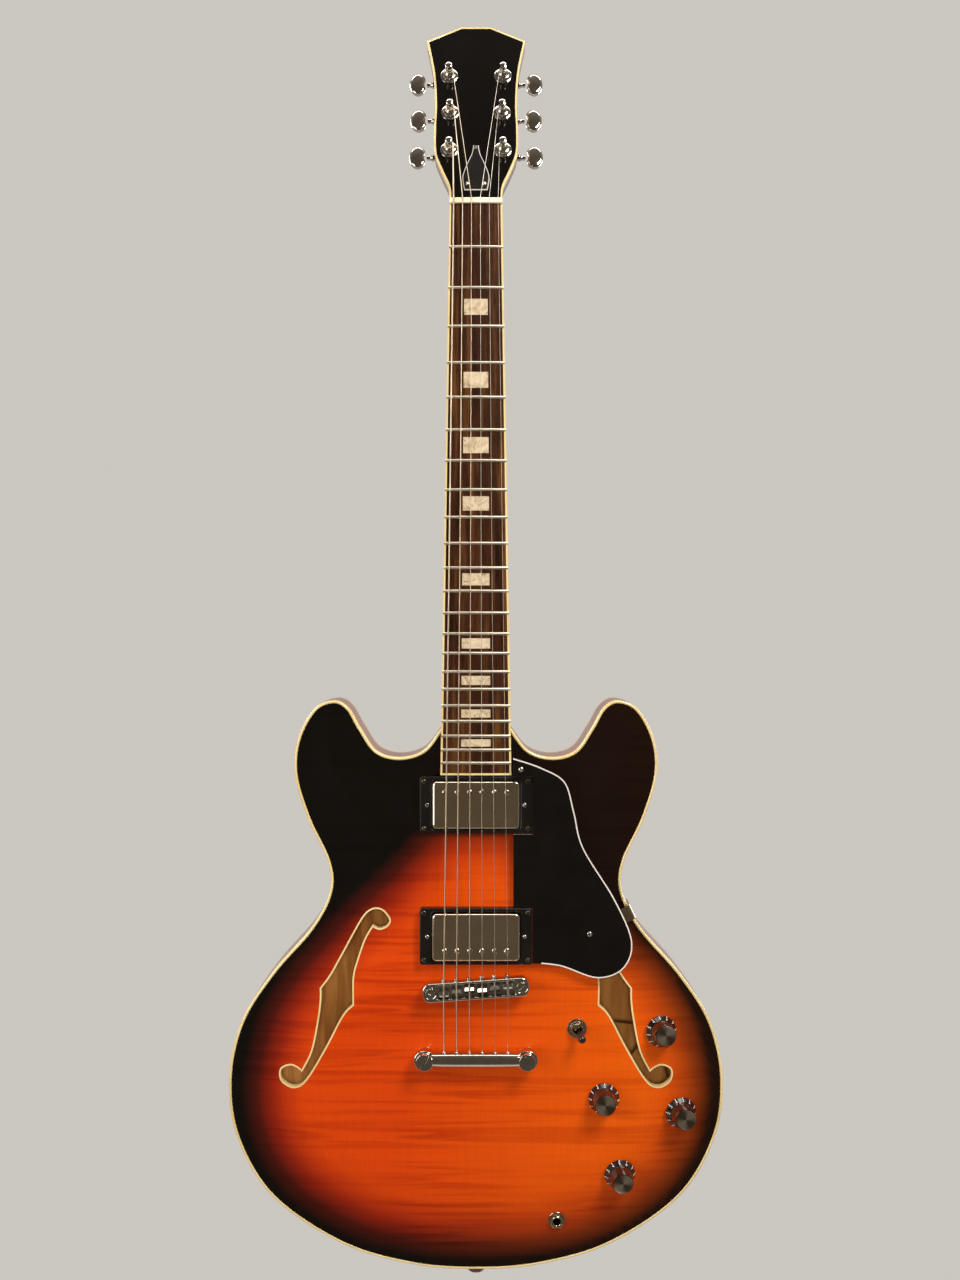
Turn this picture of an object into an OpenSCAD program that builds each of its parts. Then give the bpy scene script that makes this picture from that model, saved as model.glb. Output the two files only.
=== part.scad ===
// Thinline semi-hollow electric guitar: two horns, set neck, fixed bridge and stop tailpiece.
// Frame: +X to the treble side, +Y to the back, +Z up the body, towards the headstock.
// Origin: the nut's front edge, on the centre line, in the plane where the fingerboard is glued.
// The body stands straight in this frame; the neck leans back from it, and the headstock further.

/* [Scale] */
// Open string length from the nut to the saddles
scale_length = 628.6; // [620:0.1:640]
// Number of frets
fret_count = 22; // [20:1:22]
// Angle that the neck leans back from the body, in degrees
neck_angle = 3; // [2.8:0.1:3.2]
// Angle that the headstock leans back from the neck, in degrees
head_angle = 14; // [12:1:17]

/* [Body] */
// Depth of the side, binding to binding
rim_depth = 42; // [40:1:46]
// Rise of the arched top and back over the binding
arch_height = 8; // [7:0.5:9]
// Distance from the edge at which the arch is flat
arch_width = 75; // [70:1:80]
// Thickness of the laminated top and back
plate_t = 5; // [4:0.5:5]
// Depth of the binding along the side
binding_h = 6.5; // [5:0.5:8]
// Thickness of the binding
binding_t = 2.4; // [1.5:0.1:2.5]
// Half of the centre block's width
block_half = 41; // [38:1:41]

/* [Neck] */
// Fingerboard width at the nut
nut_w = 43; // [42:0.5:44]
// Fingerboard width at its body end
board_end_w = 57; // [56:0.5:58]
// Fingerboard length from the nut
board_len = 462; // [460:1:463]
// Fingerboard thickness
board_t = 6; // [5.5:0.5:6.5]
// Neck depth behind the fingerboard
neck_t = 16; // [15:0.5:18]
// Headstock core thickness
head_t = 13; // [12:0.5:14]

/* [Hardware] */
// Distance between the bridge posts
bridge_span = 73; // [72:0.5:75]
// Slant of the bridge, bass side further from the nut, in degrees
bridge_slant = 4; // [3:0.5:5]
// Distance between the tailpiece studs
tail_span = 82; // [81:0.5:83]
// Teeth on a tuner's worm wheel
wheel_teeth = 15; // [15:1:15]
// Axial pitch of a tuner's worm
worm_pitch = 2; // [2:0.1:2]
// Knob skirt diameter
knob_d = 25; // [24:0.5:26]
// Bore radius of the output socket
jack_r = 3.2; // [3.18:0.01:3.25]

/* [Hidden] */
$fn = 48;

// ---- colours ----
CREAM = "moccasin";
CHROME = "gainsboro";
BLACK = "#181412";
MAPLE = "burlywood";
MAHOGANY = "saddlebrown";
ROSEWOOD = "#3b2318";

// ---- body places ----
rim_front = -19;
rim_back = rim_front + rim_depth;
lip = binding_h - plate_t;
gap = 0.2;
neck_edge_z = -424;
tongue_end_z = -463;
tongue_half = 27;
tenon_back = 12;
block_step = 75;
block_step_top = 97;
tail_z = -867;

// Right half of the body's outline, from the neck joint round the horn and waist to the tail
BODY_KNOTS = [
    [28, neck_edge_z], [42, -442], [61, -448], [80, -443], [93, -425], [103, -408], [115, -402],
    [131, -409], [144, -433], [146.5, -462], [136, -498], [120, -533], [119, -558], [134, -587],
    [166, -624], [191, -664], [201, -711], [194, -760], [165, -808], [109, -846], [52, -863], [0, tail_z]
];

// Point on a Catmull-Rom span from b to c, at t from 0 to 1
function spline_at(a, b, c, d, t) =
    0.5 * (2 * b + (c - a) * t + (2 * a - 5 * b + 4 * c - d) * t * t + (3 * b - a - 3 * c + d) * t * t * t);
// Smooth curve through knots, with n points on each span; the ends continue straight
function spline(k, n) = let (m = len(k) - 1)
    concat(
        [for (i = [0:m - 1], j = [0:n - 1])
            spline_at(k[max(i - 1, 0)], k[i], k[i + 1], k[min(i + 2, m)], j / n)],
        [k[m]]
    );
function mirrored(points) = [for (i = [len(points) - 1:-1:0]) [-points[i][0], points[i][1]]];
function dropped_ends(points) = [for (i = [1:len(points) - 2]) points[i]];

tail_mirror = [[-52, -863]];
half_body = let (k = concat(BODY_KNOTS, tail_mirror), s = spline(k, 3))
    [for (i = [0:(len(BODY_KNOTS) - 1) * 3]) s[i]];
body_line = concat(half_body, mirrored([for (i = [0:len(half_body) - 2]) half_body[i]]));

// Closed line moved inwards by d; the line runs clockwise seen from the front
function inset(line, d) = let (n = len(line))
    [for (i = [0:n - 1])
        let (
            a = line[(i + n - 1) % n], b = line[i], c = line[(i + 1) % n],
            u = (b - a) / norm(b - a), v = (c - b) / norm(c - b),
            m = [u[1] + v[1], -u[0] - v[0]],
            k = m / norm(m)
        )
        b + k * d / max(0.5, k * [u[1], -u[0]])];

function segment_gap(p, a, b) = let (t = max(0, min(1, (p - a) * (b - a) / ((b - a) * (b - a)))))
    norm(p - a - t * (b - a));
function side_of(p, a, b) = (a[1] > p[1]) != (b[1] > p[1]) && p[0] < (b[0] - a[0]) * (p[1] - a[1]) / (b[1] - a[1]) + a[0];
function is_inside(p, line) = let (n = len(line))
    len([for (i = [0:n - 1]) if (side_of(p, line[i], line[(i + 1) % n])) 1]) % 2 == 1;
// Distance from a point to the body's edge, 0 outside
function edge_gap(p) = let (n = len(body_line))
    is_inside(p, body_line) ? min([for (i = [0:n - 1]) segment_gap(p, body_line[i], body_line[(i + 1) % n])]) : 0;
// Rise of the arch over the rim at a point of the face
function arch(p) = let (t = min(1, edge_gap(p) / arch_width)) arch_height * t * t * (3 - 2 * t);
function arch_slope(p) = let (h = 2)
    [(arch(p + [h, 0]) - arch(p - [h, 0])) / (2 * h), (arch(p + [0, h]) - arch(p - [0, h])) / (2 * h)];
flat_y = rim_front - arch_height;

// ---- f-hole outline, right side, from the upper eye down the outer edge and back up ----
F_OUTER = [[70, -578], [76, -571], [84, -571], [92, -579], [107.5, -607], [117, -624], [125, -635]];
F_LOWER = [[125, -645], [127, -661], [132, -685], [140.5, -702], [144, -699], [150, -697], [157, -700], [158, -706]];
F_INNER = [[155, -711], [147, -714], [137.5, -708], [122, -682.5], [108, -656], [99.5, -647]];
F_UPPER = [[99.5, -625], [95.5, -609.5], [90, -594], [83.5, -583], [78, -585.5], [72, -583]];
f_hole_line = concat(F_OUTER, F_LOWER, F_INNER, F_UPPER);
f_binding_t = 1.2;

// ---- controls: place on the face of each ----
KNOB_PLACES = [[149, -669], [103, -722], [165, -735], [116, -784]];
SWITCH_PLACE = [81.5, -666];
JACK_PLACE = [65.5, -824];
panel_hole_r = 5.2;

module slab(y0, y1) translate([0, y1, 0]) rotate([90, 0, 0]) linear_extrude(y1 - y0) children();

// Children stand on the top at a place, their Z along the surface's outward normal
module on_top(p) {
    s = arch_slope(p);
    n = [-s[0], -1, -s[1]] / norm([s[0], 1, s[1]]);
    x = cross([0, 0, 1], n) / norm(cross([0, 0, 1], n));
    y = cross(n, x);
    o = [p[0], rim_front - arch(p), p[1]];
    multmatrix([
        [x[0], y[0], n[0], o[0]],
        [x[1], y[1], n[1], o[1]],
        [x[2], y[2], n[2], o[2]],
        [0, 0, 0, 1]
    ]) children();
}

module body_shape(d) polygon(inset(body_line, d));
module both_sides() {
    children();
    mirror([1, 0, 0]) children();
}

// Arched sheet of thickness t over the whole face; side 1 bulges to the front and -1 to the back
module arched_sheet(side) {
    nx = 24;
    nz = 28;
    x0 = -206;
    z0 = -872;
    dx = 412 / nx;
    dz = 474 / nz;
    base = side > 0 ? rim_front : rim_back;
    rise = [for (j = [0:nz], i = [0:nx]) arch([x0 + i * dx, z0 + j * dz])];
    sheet = [for (j = [0:nz], i = [0:nx]) [x0 + i * dx, base - side * rise[j * (nx + 1) + i], z0 + j * dz]];
    inner = [for (p = sheet) p + [0, side * plate_t, 0]];
    count = len(sheet);
    outer_faces = [for (j = [0:nz - 1], i = [0:nx - 1]) let (a = j * (nx + 1) + i, b = a + nx + 1)
        each [[a, a + 1, b + 1], [a, b + 1, b]]];
    inner_faces = [for (f = outer_faces) [f[2] + count, f[1] + count, f[0] + count]];
    rim_loop = concat(
        [for (i = [0:nx - 1]) i], [for (j = [0:nz - 1]) j * (nx + 1) + nx],
        [for (i = [nx:-1:1]) nz * (nx + 1) + i], [for (j = [nz:-1:1]) j * (nx + 1)]
    );
    edge_faces = [for (k = [0:len(rim_loop) - 1]) let (a = rim_loop[k], b = rim_loop[(k + 1) % len(rim_loop)])
        each [[b, a, a + count], [b, a + count, b + count]]];
    faces = concat(outer_faces, inner_faces, edge_faces);
    turned = [for (f = faces) [f[2], f[1], f[0]]];
    polyhedron(concat(sheet, inner), side > 0 ? turned : faces);
}

module neck_pocket() {
    translate([-tongue_half - gap, rim_front - 20, tongue_end_z - gap])
        cube([2 * (tongue_half + gap), 20 - rim_front + tenon_back + gap, 60]);
}

module top_plate() color("orangered") resize([0, 0, 0]) difference() {
    intersection() {
        arched_sheet(1);
        slab(-60, 20) body_shape(binding_t);
    }
    neck_pocket();
    both_sides() slab(-60, 20) polygon(inset(f_hole_line, -f_binding_t));
    for (z = pickup_zs) {
        translate([-37, -60, z - 20.5]) cube([74, 60, 41]);
        translate([-43, -60, z - 7]) cube([86, 60, 14]);
    }
    for (p = concat(KNOB_PLACES, [SWITCH_PLACE, JACK_PLACE]))
        on_top(p) translate([0, 0, -20]) cylinder(h = 40, r = panel_hole_r, $fn = 24);
    for (s = [-1, 1]) {
        at_stud(s) rotate([90, 0, 0]) cylinder(h = 80, r = anchor_r + gap, center = true, $fn = 24);
        at_post(s) rotate([90, 0, 0]) cylinder(h = 80, r = anchor_r + gap, center = true, $fn = 24);
    }
}

module back_plate() color("firebrick") resize([0, 0, 0]) intersection() {
    arched_sheet(-1);
    slab(-20, 60) body_shape(binding_t);
}

module rim() color("firebrick") difference() {
    union() {
        slab(rim_front + binding_h, rim_back - binding_h) difference() {
            body_shape(0);
            body_shape(4);
        }
        slab(rim_front + plate_t, rim_back - plate_t) difference() {
            body_shape(binding_t);
            body_shape(4);
        }
    }
    neck_pocket();
    translate([0, 2, tail_z]) cylinder(h = 20, r = 1.6, center = true, $fn = 24);
}

module linings() color(MAPLE) for (y = [rim_front + plate_t, rim_back - plate_t - 10]) difference() {
    slab(y, y + 10) difference() {
        body_shape(4);
        body_shape(10);
    }
    neck_pocket();
    translate([-block_half - gap, -50, -880]) cube([2 * (block_half + gap), 100, 480]);
}

module centre_block() color(MAPLE) difference() {
    union() {
        block_top = neck_edge_z - 6;
        block_low = tail_z + 6;
        intersection() {
            translate([-block_half, rim_front + plate_t, block_low])
                cube([2 * block_half, rim_depth - 2 * plate_t, block_top - block_low]);
            slab(rim_front, rim_back) body_shape(4 + gap);
        }
        translate([-block_half, flat_y + plate_t + 0.3, block_low + block_step]) cube([
            2 * block_half, rim_depth + 2 * arch_height - 2 * plate_t - 0.6,
            block_top - block_low - block_step - block_step_top
        ]);
    }
    neck_pocket();
    for (z = pickup_zs) {
        translate([-38, -60, z - 21]) cube([76, 60 + flat_y + 30, 42]);
        translate([-44, -60, z - 7]) cube([88, 44, 14]);
    }
    for (s = [-1, 1]) {
        at_stud(s) rotate([90, 0, 0]) cylinder(h = 46, r = anchor_r + gap, center = true);
        at_post(s) rotate([90, 0, 0]) cylinder(h = 46, r = anchor_r + gap, center = true);
    }
    translate([-44, -2, -620]) cube([88, 12, 8]);
    translate([0, 2, tail_z]) cylinder(h = 52, r = 1.6, center = true, $fn = 24);
}

module bindings() color(CREAM) {
    difference() {
        slab(rim_front, rim_front + binding_h) difference() {
            body_shape(0);
            body_shape(binding_t);
        }
        neck_pocket();
    }
    slab(rim_back - binding_h, rim_back) difference() {
        body_shape(0);
        body_shape(binding_t);
    }
    both_sides() f_hole_binding();
}

// Strip round an f-hole, cut to the arch of the top
module f_hole_binding() resize([0, 0, 0]) intersection() {
    arched_sheet(1);
    slab(-60, 20) difference() {
        polygon(inset(f_hole_line, -f_binding_t));
        polygon(f_hole_line);
    }
}

// ---- neck, in its own leaning frame ----
module neck_frame() rotate([-neck_angle, 0, 0]) children();
nut_len = 5;
module head_frame() neck_frame() translate([0, 0, nut_len]) rotate([-head_angle, 0, 0]) children();

function board_half(z) = (nut_w + (board_end_w - nut_w) * -z / board_len) / 2;
function fret_z(n) = -scale_length * (1 - pow(2, -n / 12));
board_radius = 305;
edge_t = 1.6;

// Fingerboard shape with its playing surface as part of a cylinder along the neck
module board_wedge(side_cut) intersection() {
    slab(-board_t, 0) polygon([
        [-nut_w / 2 + side_cut, 0], [nut_w / 2 - side_cut, 0],
        [board_end_w / 2 - side_cut, -board_len + side_cut], [-board_end_w / 2 + side_cut, -board_len + side_cut]
    ]);
    translate([0, board_radius - board_t, -board_len - 1]) cylinder(h = board_len + 2, r = board_radius, $fn = 720);
}

inlay_frets = [3, 5, 7, 9, 12, 15, 17, 19, 21];
fret_w = 2.4;
fret_h = 1.1;
inlay_t = 1.5;
function inlay_z(n) = (fret_z(n) + fret_z(n - 1)) / 2;
function inlay_len(n) = min(13, (fret_z(n - 1) - fret_z(n)) * 0.52);
function inlay_half(n) = board_half(inlay_z(n)) * 0.42;

module inlay_blocks(grow) for (n = inlay_frets)
    translate([-inlay_half(n) - grow, -board_t - 2, inlay_z(n) - inlay_len(n) / 2 - grow])
        cube([2 * (inlay_half(n) + grow), 2 + inlay_t + 0.4, inlay_len(n) + 2 * grow]);

module fingerboard() color(ROSEWOOD) neck_frame() difference() {
    board_wedge(edge_t);
    inlay_blocks(0.05);
}

module inlays() color("ivory") neck_frame() intersection() {
    board_wedge(edge_t);
    inlay_blocks(0);
}

module neck_binding() color(CREAM) {
    neck_frame() difference() {
        board_wedge(0);
        slab(-20, 20) polygon([
            [-nut_w / 2 + edge_t, 1], [nut_w / 2 - edge_t, 1],
            [board_end_w / 2 - edge_t, -board_len + edge_t], [-board_end_w / 2 + edge_t, -board_len + edge_t]
        ]);
    }
    head_frame() head_rim();
}

// Strip round the headstock's face, open at the nut
module head_rim() difference() {
    slab(-veneer_t, 4) difference() {
        polygon(head_line);
        polygon(head_inner);
    }
    translate([-19.95, -5, -1]) cube([39.9, 12, 2.65]);
    translate([-30, -0.02, -1]) cube([60, 10, 3.2]);
}

// Fret crown: a low bar bent to the board's radius
module frets() color(CHROME) neck_frame() for (n = [1:fret_count]) {
    half = board_half(fret_z(n));
    intersection() {
        translate([-half, -board_t - fret_h - 1, fret_z(n) - fret_w / 2]) cube([2 * half, 6, fret_w]);
        difference() {
            translate([0, board_radius - board_t, fret_z(n)])
                cylinder(h = fret_w, r = board_radius + fret_h, center = true, $fn = 720);
            translate([0, board_radius - board_t, fret_z(n)])
                cylinder(h = fret_w + 2, r = board_radius, center = true, $fn = 720);
        }
    }
}

// ---- headstock ----
veneer_t = 1.5;
head_rim_t = 1.6;
HEAD_KNOTS = [[21.5, 0], [22.5, 12], [28.5, 27], [34, 44], [34.6, 68], [34, 92], [36, 122], [41.5, 153]];
head_half = spline(HEAD_KNOTS, 4);
head_crown = [[12.5, 167], [-12.5, 167]];
head_line = concat(head_half, head_crown, mirrored(head_half));
head_inner = inset([for (i = [len(head_line) - 1:-1:0]) head_line[i]], head_rim_t);
TUNER_XS = [22, 21.5, 22.5];
TUNER_ZS = [46, 82, 118];
bushing_hole_r = 4.8;

// Tuner number i from 1 to 6: 1 to 3 up the bass side, and 4 to 6 down the treble side
function tuner_side(i) = i <= 3 ? -1 : 1;
function tuner_row(i) = i <= 3 ? i - 1 : 6 - i;
module at_tuner(i) head_frame()
    translate([tuner_side(i) * TUNER_XS[tuner_row(i)], 0, TUNER_ZS[tuner_row(i)]])
        mirror([tuner_side(i) < 0 ? 1 : 0, 0, 0]) children();

module half_round(w, t, h) intersection() {
    scale([w / 2, t, 1]) cylinder(h = h, r = 1, $fn = 48);
    translate([-w, 0, -1]) cube([2 * w, 2 * t, h + 2]);
}

module neck() color(MAHOGANY) resize([0, 0, 0]) difference() {
    union() {
        neck_frame() hull() {
            translate([0, 0, -1]) half_round(nut_w, neck_t, 1);
            translate([0, 0, -370]) half_round(2 * board_half(-370), neck_t + 2, 1);
        }
        // heel: from the round neck to the full depth at the body
        hull() {
            neck_frame() translate([0, 0, -370]) half_round(2 * board_half(-370), neck_t + 2, 1);
            intersection() {
                neck_frame() translate([-27.4, 0, -432]) cube([54.8, 60, 60]);
                translate([-27.4, -40, neck_edge_z + 0.3]) cube([54.8, 40 + heel_back_y, 20]);
            }
        }
        // tongue and tenon, inside the body
        intersection() {
            neck_frame() translate([-tongue_half, 0, -480]) cube([2 * tongue_half, 80, 80]);
            translate([-tongue_half, -40, tongue_end_z]) cube([2 * tongue_half, 40 + tenon_back, -tongue_end_z + neck_edge_z + 1]);
        }
        // headstock core
        head_frame() {
            slab(4, head_t) polygon(head_line);
            slab(0, 4.1) polygon(head_inner);
        }
        // throat behind the nut
        hull() {
            neck_frame() translate([0, 0, -3]) half_round(nut_w - 0.6, neck_t - 0.4, 2.5);
            head_frame() slab(4.4, head_t - 0.3) translate([-20, 1]) square([40, 20]);
        }
    }
    neck_frame() translate([-3.2, -0.1, -440]) cube([6.4, 10, 470]);
    head_frame() head_rim();
    head_frame() for (s = [-1, 1], k = [0:2])
        translate([s * TUNER_XS[k], 0, TUNER_ZS[k]]) rotate([90, 0, 0])
            cylinder(h = 60, r = bushing_hole_r + 0.2, center = true, $fn = 24);
    translate([0, heel_back_y, heel_button_z]) rotate([90, 0, 0]) cylinder(h = 50, r = 1.6, center = true, $fn = 24);
    nut_space();
}

module nut_space() neck_frame() translate([-30, -20, 0]) cube([60, 20, nut_len]);

module headstock_veneer() color(BLACK) head_frame() difference() {
    slab(-veneer_t, -0.02) polygon(head_inner);
    for (s = [-1, 1], k = [0:2])
        translate([s * TUNER_XS[k], 0, TUNER_ZS[k]]) rotate([90, 0, 0])
            cylinder(h = 20, r = bushing_hole_r + 0.2, center = true);
    translate([-3.4, -10, -1]) cube([6.8, 20, 26]);
    translate([-40, -10, -1]) cube([80, 20, 1.6]);
}

string_half_nut = 18;
string_half_bridge = 25.5;
STRING_RADII = [0.58, 0.46, 0.33, 0.22, 0.17, 0.13];
// Share across the neck of string n, from -1 on the bass side to 1 on the treble side
function across(n) = (n - 3.5) / 2.5;
function crown(x) = board_radius - sqrt(board_radius * board_radius - x * x);
nut_h = board_t + fret_h + 0.7;

module nut() color("ivory") neck_frame() difference() {
    intersection() {
        translate([-nut_w / 2, -nut_h - 1, 0.02]) cube([nut_w, nut_h + 0.98, nut_len - 0.3]);
        translate([0, board_radius - nut_h - 0.6, -1]) cylinder(h = nut_len + 2, r = board_radius, $fn = 720);
    }
    for (n = [1:6]) {
        x = across(n) * string_half_nut;
        translate([x, crown(x) - nut_h, -1]) cylinder(h = nut_len + 2, r = STRING_RADII[n - 1] + 0.06, $fn = 16);
        translate([x - STRING_RADII[n - 1] - 0.06, -nut_h - 5, -1])
            cube([2 * STRING_RADII[n - 1] + 0.12, 5 + crown(x), nut_len + 2]);
    }
}

module truss_rod() color("silver") neck_frame() {
    translate([-3, 0.3, -438]) cube([6, 9.2, 436]);
    translate([0, 5, -2.2]) cylinder(h = 12, r = 2.9, $fn = 6);
}

COVER_KNOTS = [[9.5, 8], [11, 20], [7.5, 32], [3.5, 42], [2.2, 50]];
cover_half = spline(COVER_KNOTS, 4);
cover_line = concat(cover_half, mirrored(cover_half));
COVER_SCREWS = [[-7, 13], [7, 13], [0, 47]];

module truss_rod_cover() color(BLACK) head_frame() difference() {
    slab(-veneer_t - 2.2, -veneer_t - 0.02) polygon(cover_line);
    for (p = COVER_SCREWS) translate([p[0], 0, p[1]]) rotate([90, 0, 0]) cylinder(h = 20, r = 0.95, center = true);
}

// ---- tuners ----
worm_r = 1.8;
worm_throw = 0.5;
wheel_r = wheel_teeth * worm_pitch / 360 * 180 / PI;
worm_gap = wheel_r + worm_r;
housing_y = head_t + 0.3;
wheel_y = housing_y + 4.6;
post_r = 3;
post_top = 16;
post_tail_y = wheel_y + 2.4;

// Worm wheel and its string post, on the post's axis
module tuner_post() {
    translate([0, wheel_y, 0]) rotate([90, 0, 0]) {
        cylinder(h = 2, r = wheel_r - 0.68, center = true);
        for (k = [0:wheel_teeth - 1]) rotate([0, 0, 90 + 360 * k / wheel_teeth])
            linear_extrude(2, center = true) polygon([
                [3.4, -0.34], [wheel_r, -0.27], [wheel_r + 0.32, -0.15],
                [wheel_r + 0.32, 0.15], [wheel_r, 0.27], [3.4, 0.34]
            ]);
    }
    difference() {
        translate([0, post_tail_y, 0]) rotate([90, 0, 0]) rotate_extrude() polygon([
            [0, 0], [2, 0], [2, 2], [post_r, 2], [post_r, post_tail_y + 5.4], [4, post_tail_y + 5.8],
            [4, post_tail_y + 6.6], [post_r - 0.6, post_tail_y + 7.4], [post_r - 0.6, post_tail_y + 11.5],
            [post_r, post_tail_y + 13], [post_r, post_tail_y + 15], [post_r - 1, post_tail_y + post_top],
            [0, post_tail_y + post_top]
        ]);
        translate([0, coil_y - 2, 0]) rotate([0, 90, 0]) cylinder(h = 20, r = 0.8, center = true);
    }
}

// Worm, its shaft and the finger button, turning about the worm's axis
module tuner_key() translate([0, wheel_y, worm_gap]) rotate([0, 90, 0]) {
    rotate([0, 0, 180]) translate([0, 0, -4]) linear_extrude(8, twist = -360 * 8 / worm_pitch, slices = 28, $fn = 10)
        translate([worm_throw, 0]) circle(worm_r, $fn = 10);
    translate([0, 0, -6.5]) cylinder(h = 2.5, r = 1.3);
    translate([0, 0, 4]) cylinder(h = 10.5, r = 1.3);
    translate([0, 0, 9.2]) cylinder(h = 5, r1 = 3.4, r2 = 2.6);
    translate([0, 0, 14]) cylinder(h = 6, r = 2);
    translate([0, 0, 18.5]) button_blade();
}

// Kidney-shaped finger button
module button_blade() hull() {
    translate([0, 0, 8]) rotate([90, 0, 0]) scale([10.8, 8, 2.6]) sphere(1, $fn = 14);
    translate([6, 0, 3]) rotate([90, 0, 0]) scale([4, 3, 2.6]) sphere(1, $fn = 10);
    translate([-6, 0, 3]) rotate([90, 0, 0]) scale([4, 3, 2.6]) sphere(1, $fn = 10);
}

module rounded_bar(x, z, h, r) hull() for (sx = [-1, 1], sz = [-1, 1])
    translate([sx * (x / 2 - r), 0, sz * (z / 2 - r)]) rotate([-90, 0, 0]) cylinder(h = h, r = r, $fn = 24);

module tuner_housing() difference() {
    union() {
        translate([-8, housing_y, -8]) cube([16, 9.2, 19]);
        translate([8, wheel_y, worm_gap]) rotate([0, 90, 0]) cylinder(h = 1, r = 3.6);
    }
    translate([0, wheel_y, 0]) rotate([90, 0, 0]) cylinder(h = 2.6, r = wheel_r + 0.9, center = true);
    translate([-5, wheel_y, worm_gap]) rotate([0, 90, 0]) cylinder(h = 10, r = 2.6);
    translate([-7.2, wheel_y, worm_gap]) rotate([0, 90, 0]) cylinder(h = 20, r = 1.34);
    translate([0, post_tail_y + 0.1, 0]) rotate([90, 0, 0]) cylinder(h = 3, r = 2.04);
    translate([0, wheel_y, 0]) rotate([90, 0, 0]) cylinder(h = 20, r = post_r + 0.04);
}

module tuner_housings() color(CHROME) for (i = [1:6]) at_tuner(i) tuner_housing();

module tuner_bushings() color(CHROME) for (i = [1:6]) at_tuner(i) difference() {
    rotate([90, 0, 0]) rotate_extrude() polygon([
        [0, -housing_y + 0.3], [bushing_hole_r, -housing_y + 0.3], [bushing_hole_r, veneer_t + 0.02],
        [7.4, veneer_t + 0.02], [7.2, 2.4], [5.6, 3.2], [5.6, 4.6], [4.6, 5.2], [0, 5.2]
    ]);
    rotate([90, 0, 0]) cylinder(h = 80, r = post_r + 0.05, center = true);
}

// ---- pickups ----
pickup_zs = [-485, -590];
cover_w = 70;
cover_l = 38;
ring_w = 90;
ring_l = 45.5;
RING_HS = [3.2, 7];
COVER_TOPS = [5, 10.8];

module pickup_rings() color(BLACK) for (k = [0, 1]) translate([0, flat_y - RING_HS[k], pickup_zs[k]]) difference() {
    rounded_bar(ring_w, ring_l, RING_HS[k] - 0.02, 2.5);
    translate([-cover_w / 2 - 0.6, -1, -cover_l / 2 - 0.6]) cube([cover_w + 1.2, 30, cover_l + 1.2]);
    for (sx = [-1, 1], sz = [-1, 1]) translate([sx * 41.6, 0, sz * 19]) rotate([90, 0, 0]) cylinder(h = 60, r = 1.05, center = true);
    for (sx = [-1, 1]) translate([sx * 39, 0, 0]) rotate([90, 0, 0]) cylinder(h = 60, r = 0.95, center = true);
}

module pickup_covers() color(CHROME) for (k = [0, 1]) translate([0, flat_y - COVER_TOPS[k], pickup_zs[k]]) difference() {
    rounded_bar(cover_w, cover_l, 16, 2.5);
    translate([-cover_w / 2 + 0.6, 0.6, -cover_l / 2 + 0.6]) cube([cover_w - 1.2, 30, cover_l - 1.2]);
    for (n = [1:6]) translate([pole_x(n), 0, pole_side(k) * 10.5]) rotate([90, 0, 0]) cylinder(h = 5, r = 2.45, center = true);
}
function pole_x(n) = across(n) * 24.8;
function pole_side(k) = k == 0 ? 1 : -1;

// Two wound bobbins, the bar magnet between them and the base plate
module pickup_coils() color("dimgray") for (k = [0, 1]) translate([0, flat_y - COVER_TOPS[k] + 0.8, pickup_zs[k]]) difference() {
    union() {
        for (s = [-1, 1]) translate([0, 0, s * 9.2]) rounded_bar(66, 17.4, 12, 8);
        translate([-33, 12, -18]) cube([66, 4.4, 36]);
        translate([-42, 15.4, -6]) cube([84, 1, 12]);
    }
    for (n = [1:6]) translate([pole_x(n), 0, pole_side(k) * 10.5]) rotate([90, 0, 0]) cylinder(h = 60, r = 1.35, center = true);
    for (sx = [-1, 1]) translate([sx * 39, 0, 0]) rotate([90, 0, 0]) cylinder(h = 60, r = 0.95, center = true);
}

module pole_screws() color(CHROME) for (k = [0, 1], n = [1:6])
    translate([pole_x(n), flat_y - COVER_TOPS[k], pickup_zs[k] + pole_side(k) * 10.5]) rotate([90, 0, 0]) difference() {
        union() {
            translate([0, 0, -18]) cylinder(h = 18, r = 1.3, $fn = 24);
            translate([0, 0, -0.75]) cylinder(h = 1.6, r1 = 2.4, r2 = 1.9, $fn = 24);
        }
        translate([-3, -0.35, 0.3]) cube([6, 0.7, 2]);
    }

// ---- bridge ----
bridge_z = -631;
bridge_low_y = flat_y - 6.5;
bridge_h = 8.5;
bridge_w = 15;
anchor_r = 5.5;
module bridge_frame() translate([0, 0, bridge_z]) rotate([0, -bridge_slant, 0]) children();
module at_post(s) translate([0, flat_y, 0]) bridge_frame() translate([s * bridge_span / 2, 0, 0]) children();
function string_bridge_x(n) = across(n) * string_half_bridge;
channel_half = 31.2;
channel_w = 10.8;
saddle_w = 7.6;
saddle_len = 4.4;
saddle_drop = 1.1;
saddle_side_gap = 0.42;
SADDLE_SHIFTS = [-1.8, -0.6, 0.6, -1, 0.3, 1.4];
string_bridge_h = 11;
string_y_bridge = -(scale_length * sin(neck_angle) + string_bridge_h * cos(neck_angle));

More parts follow.
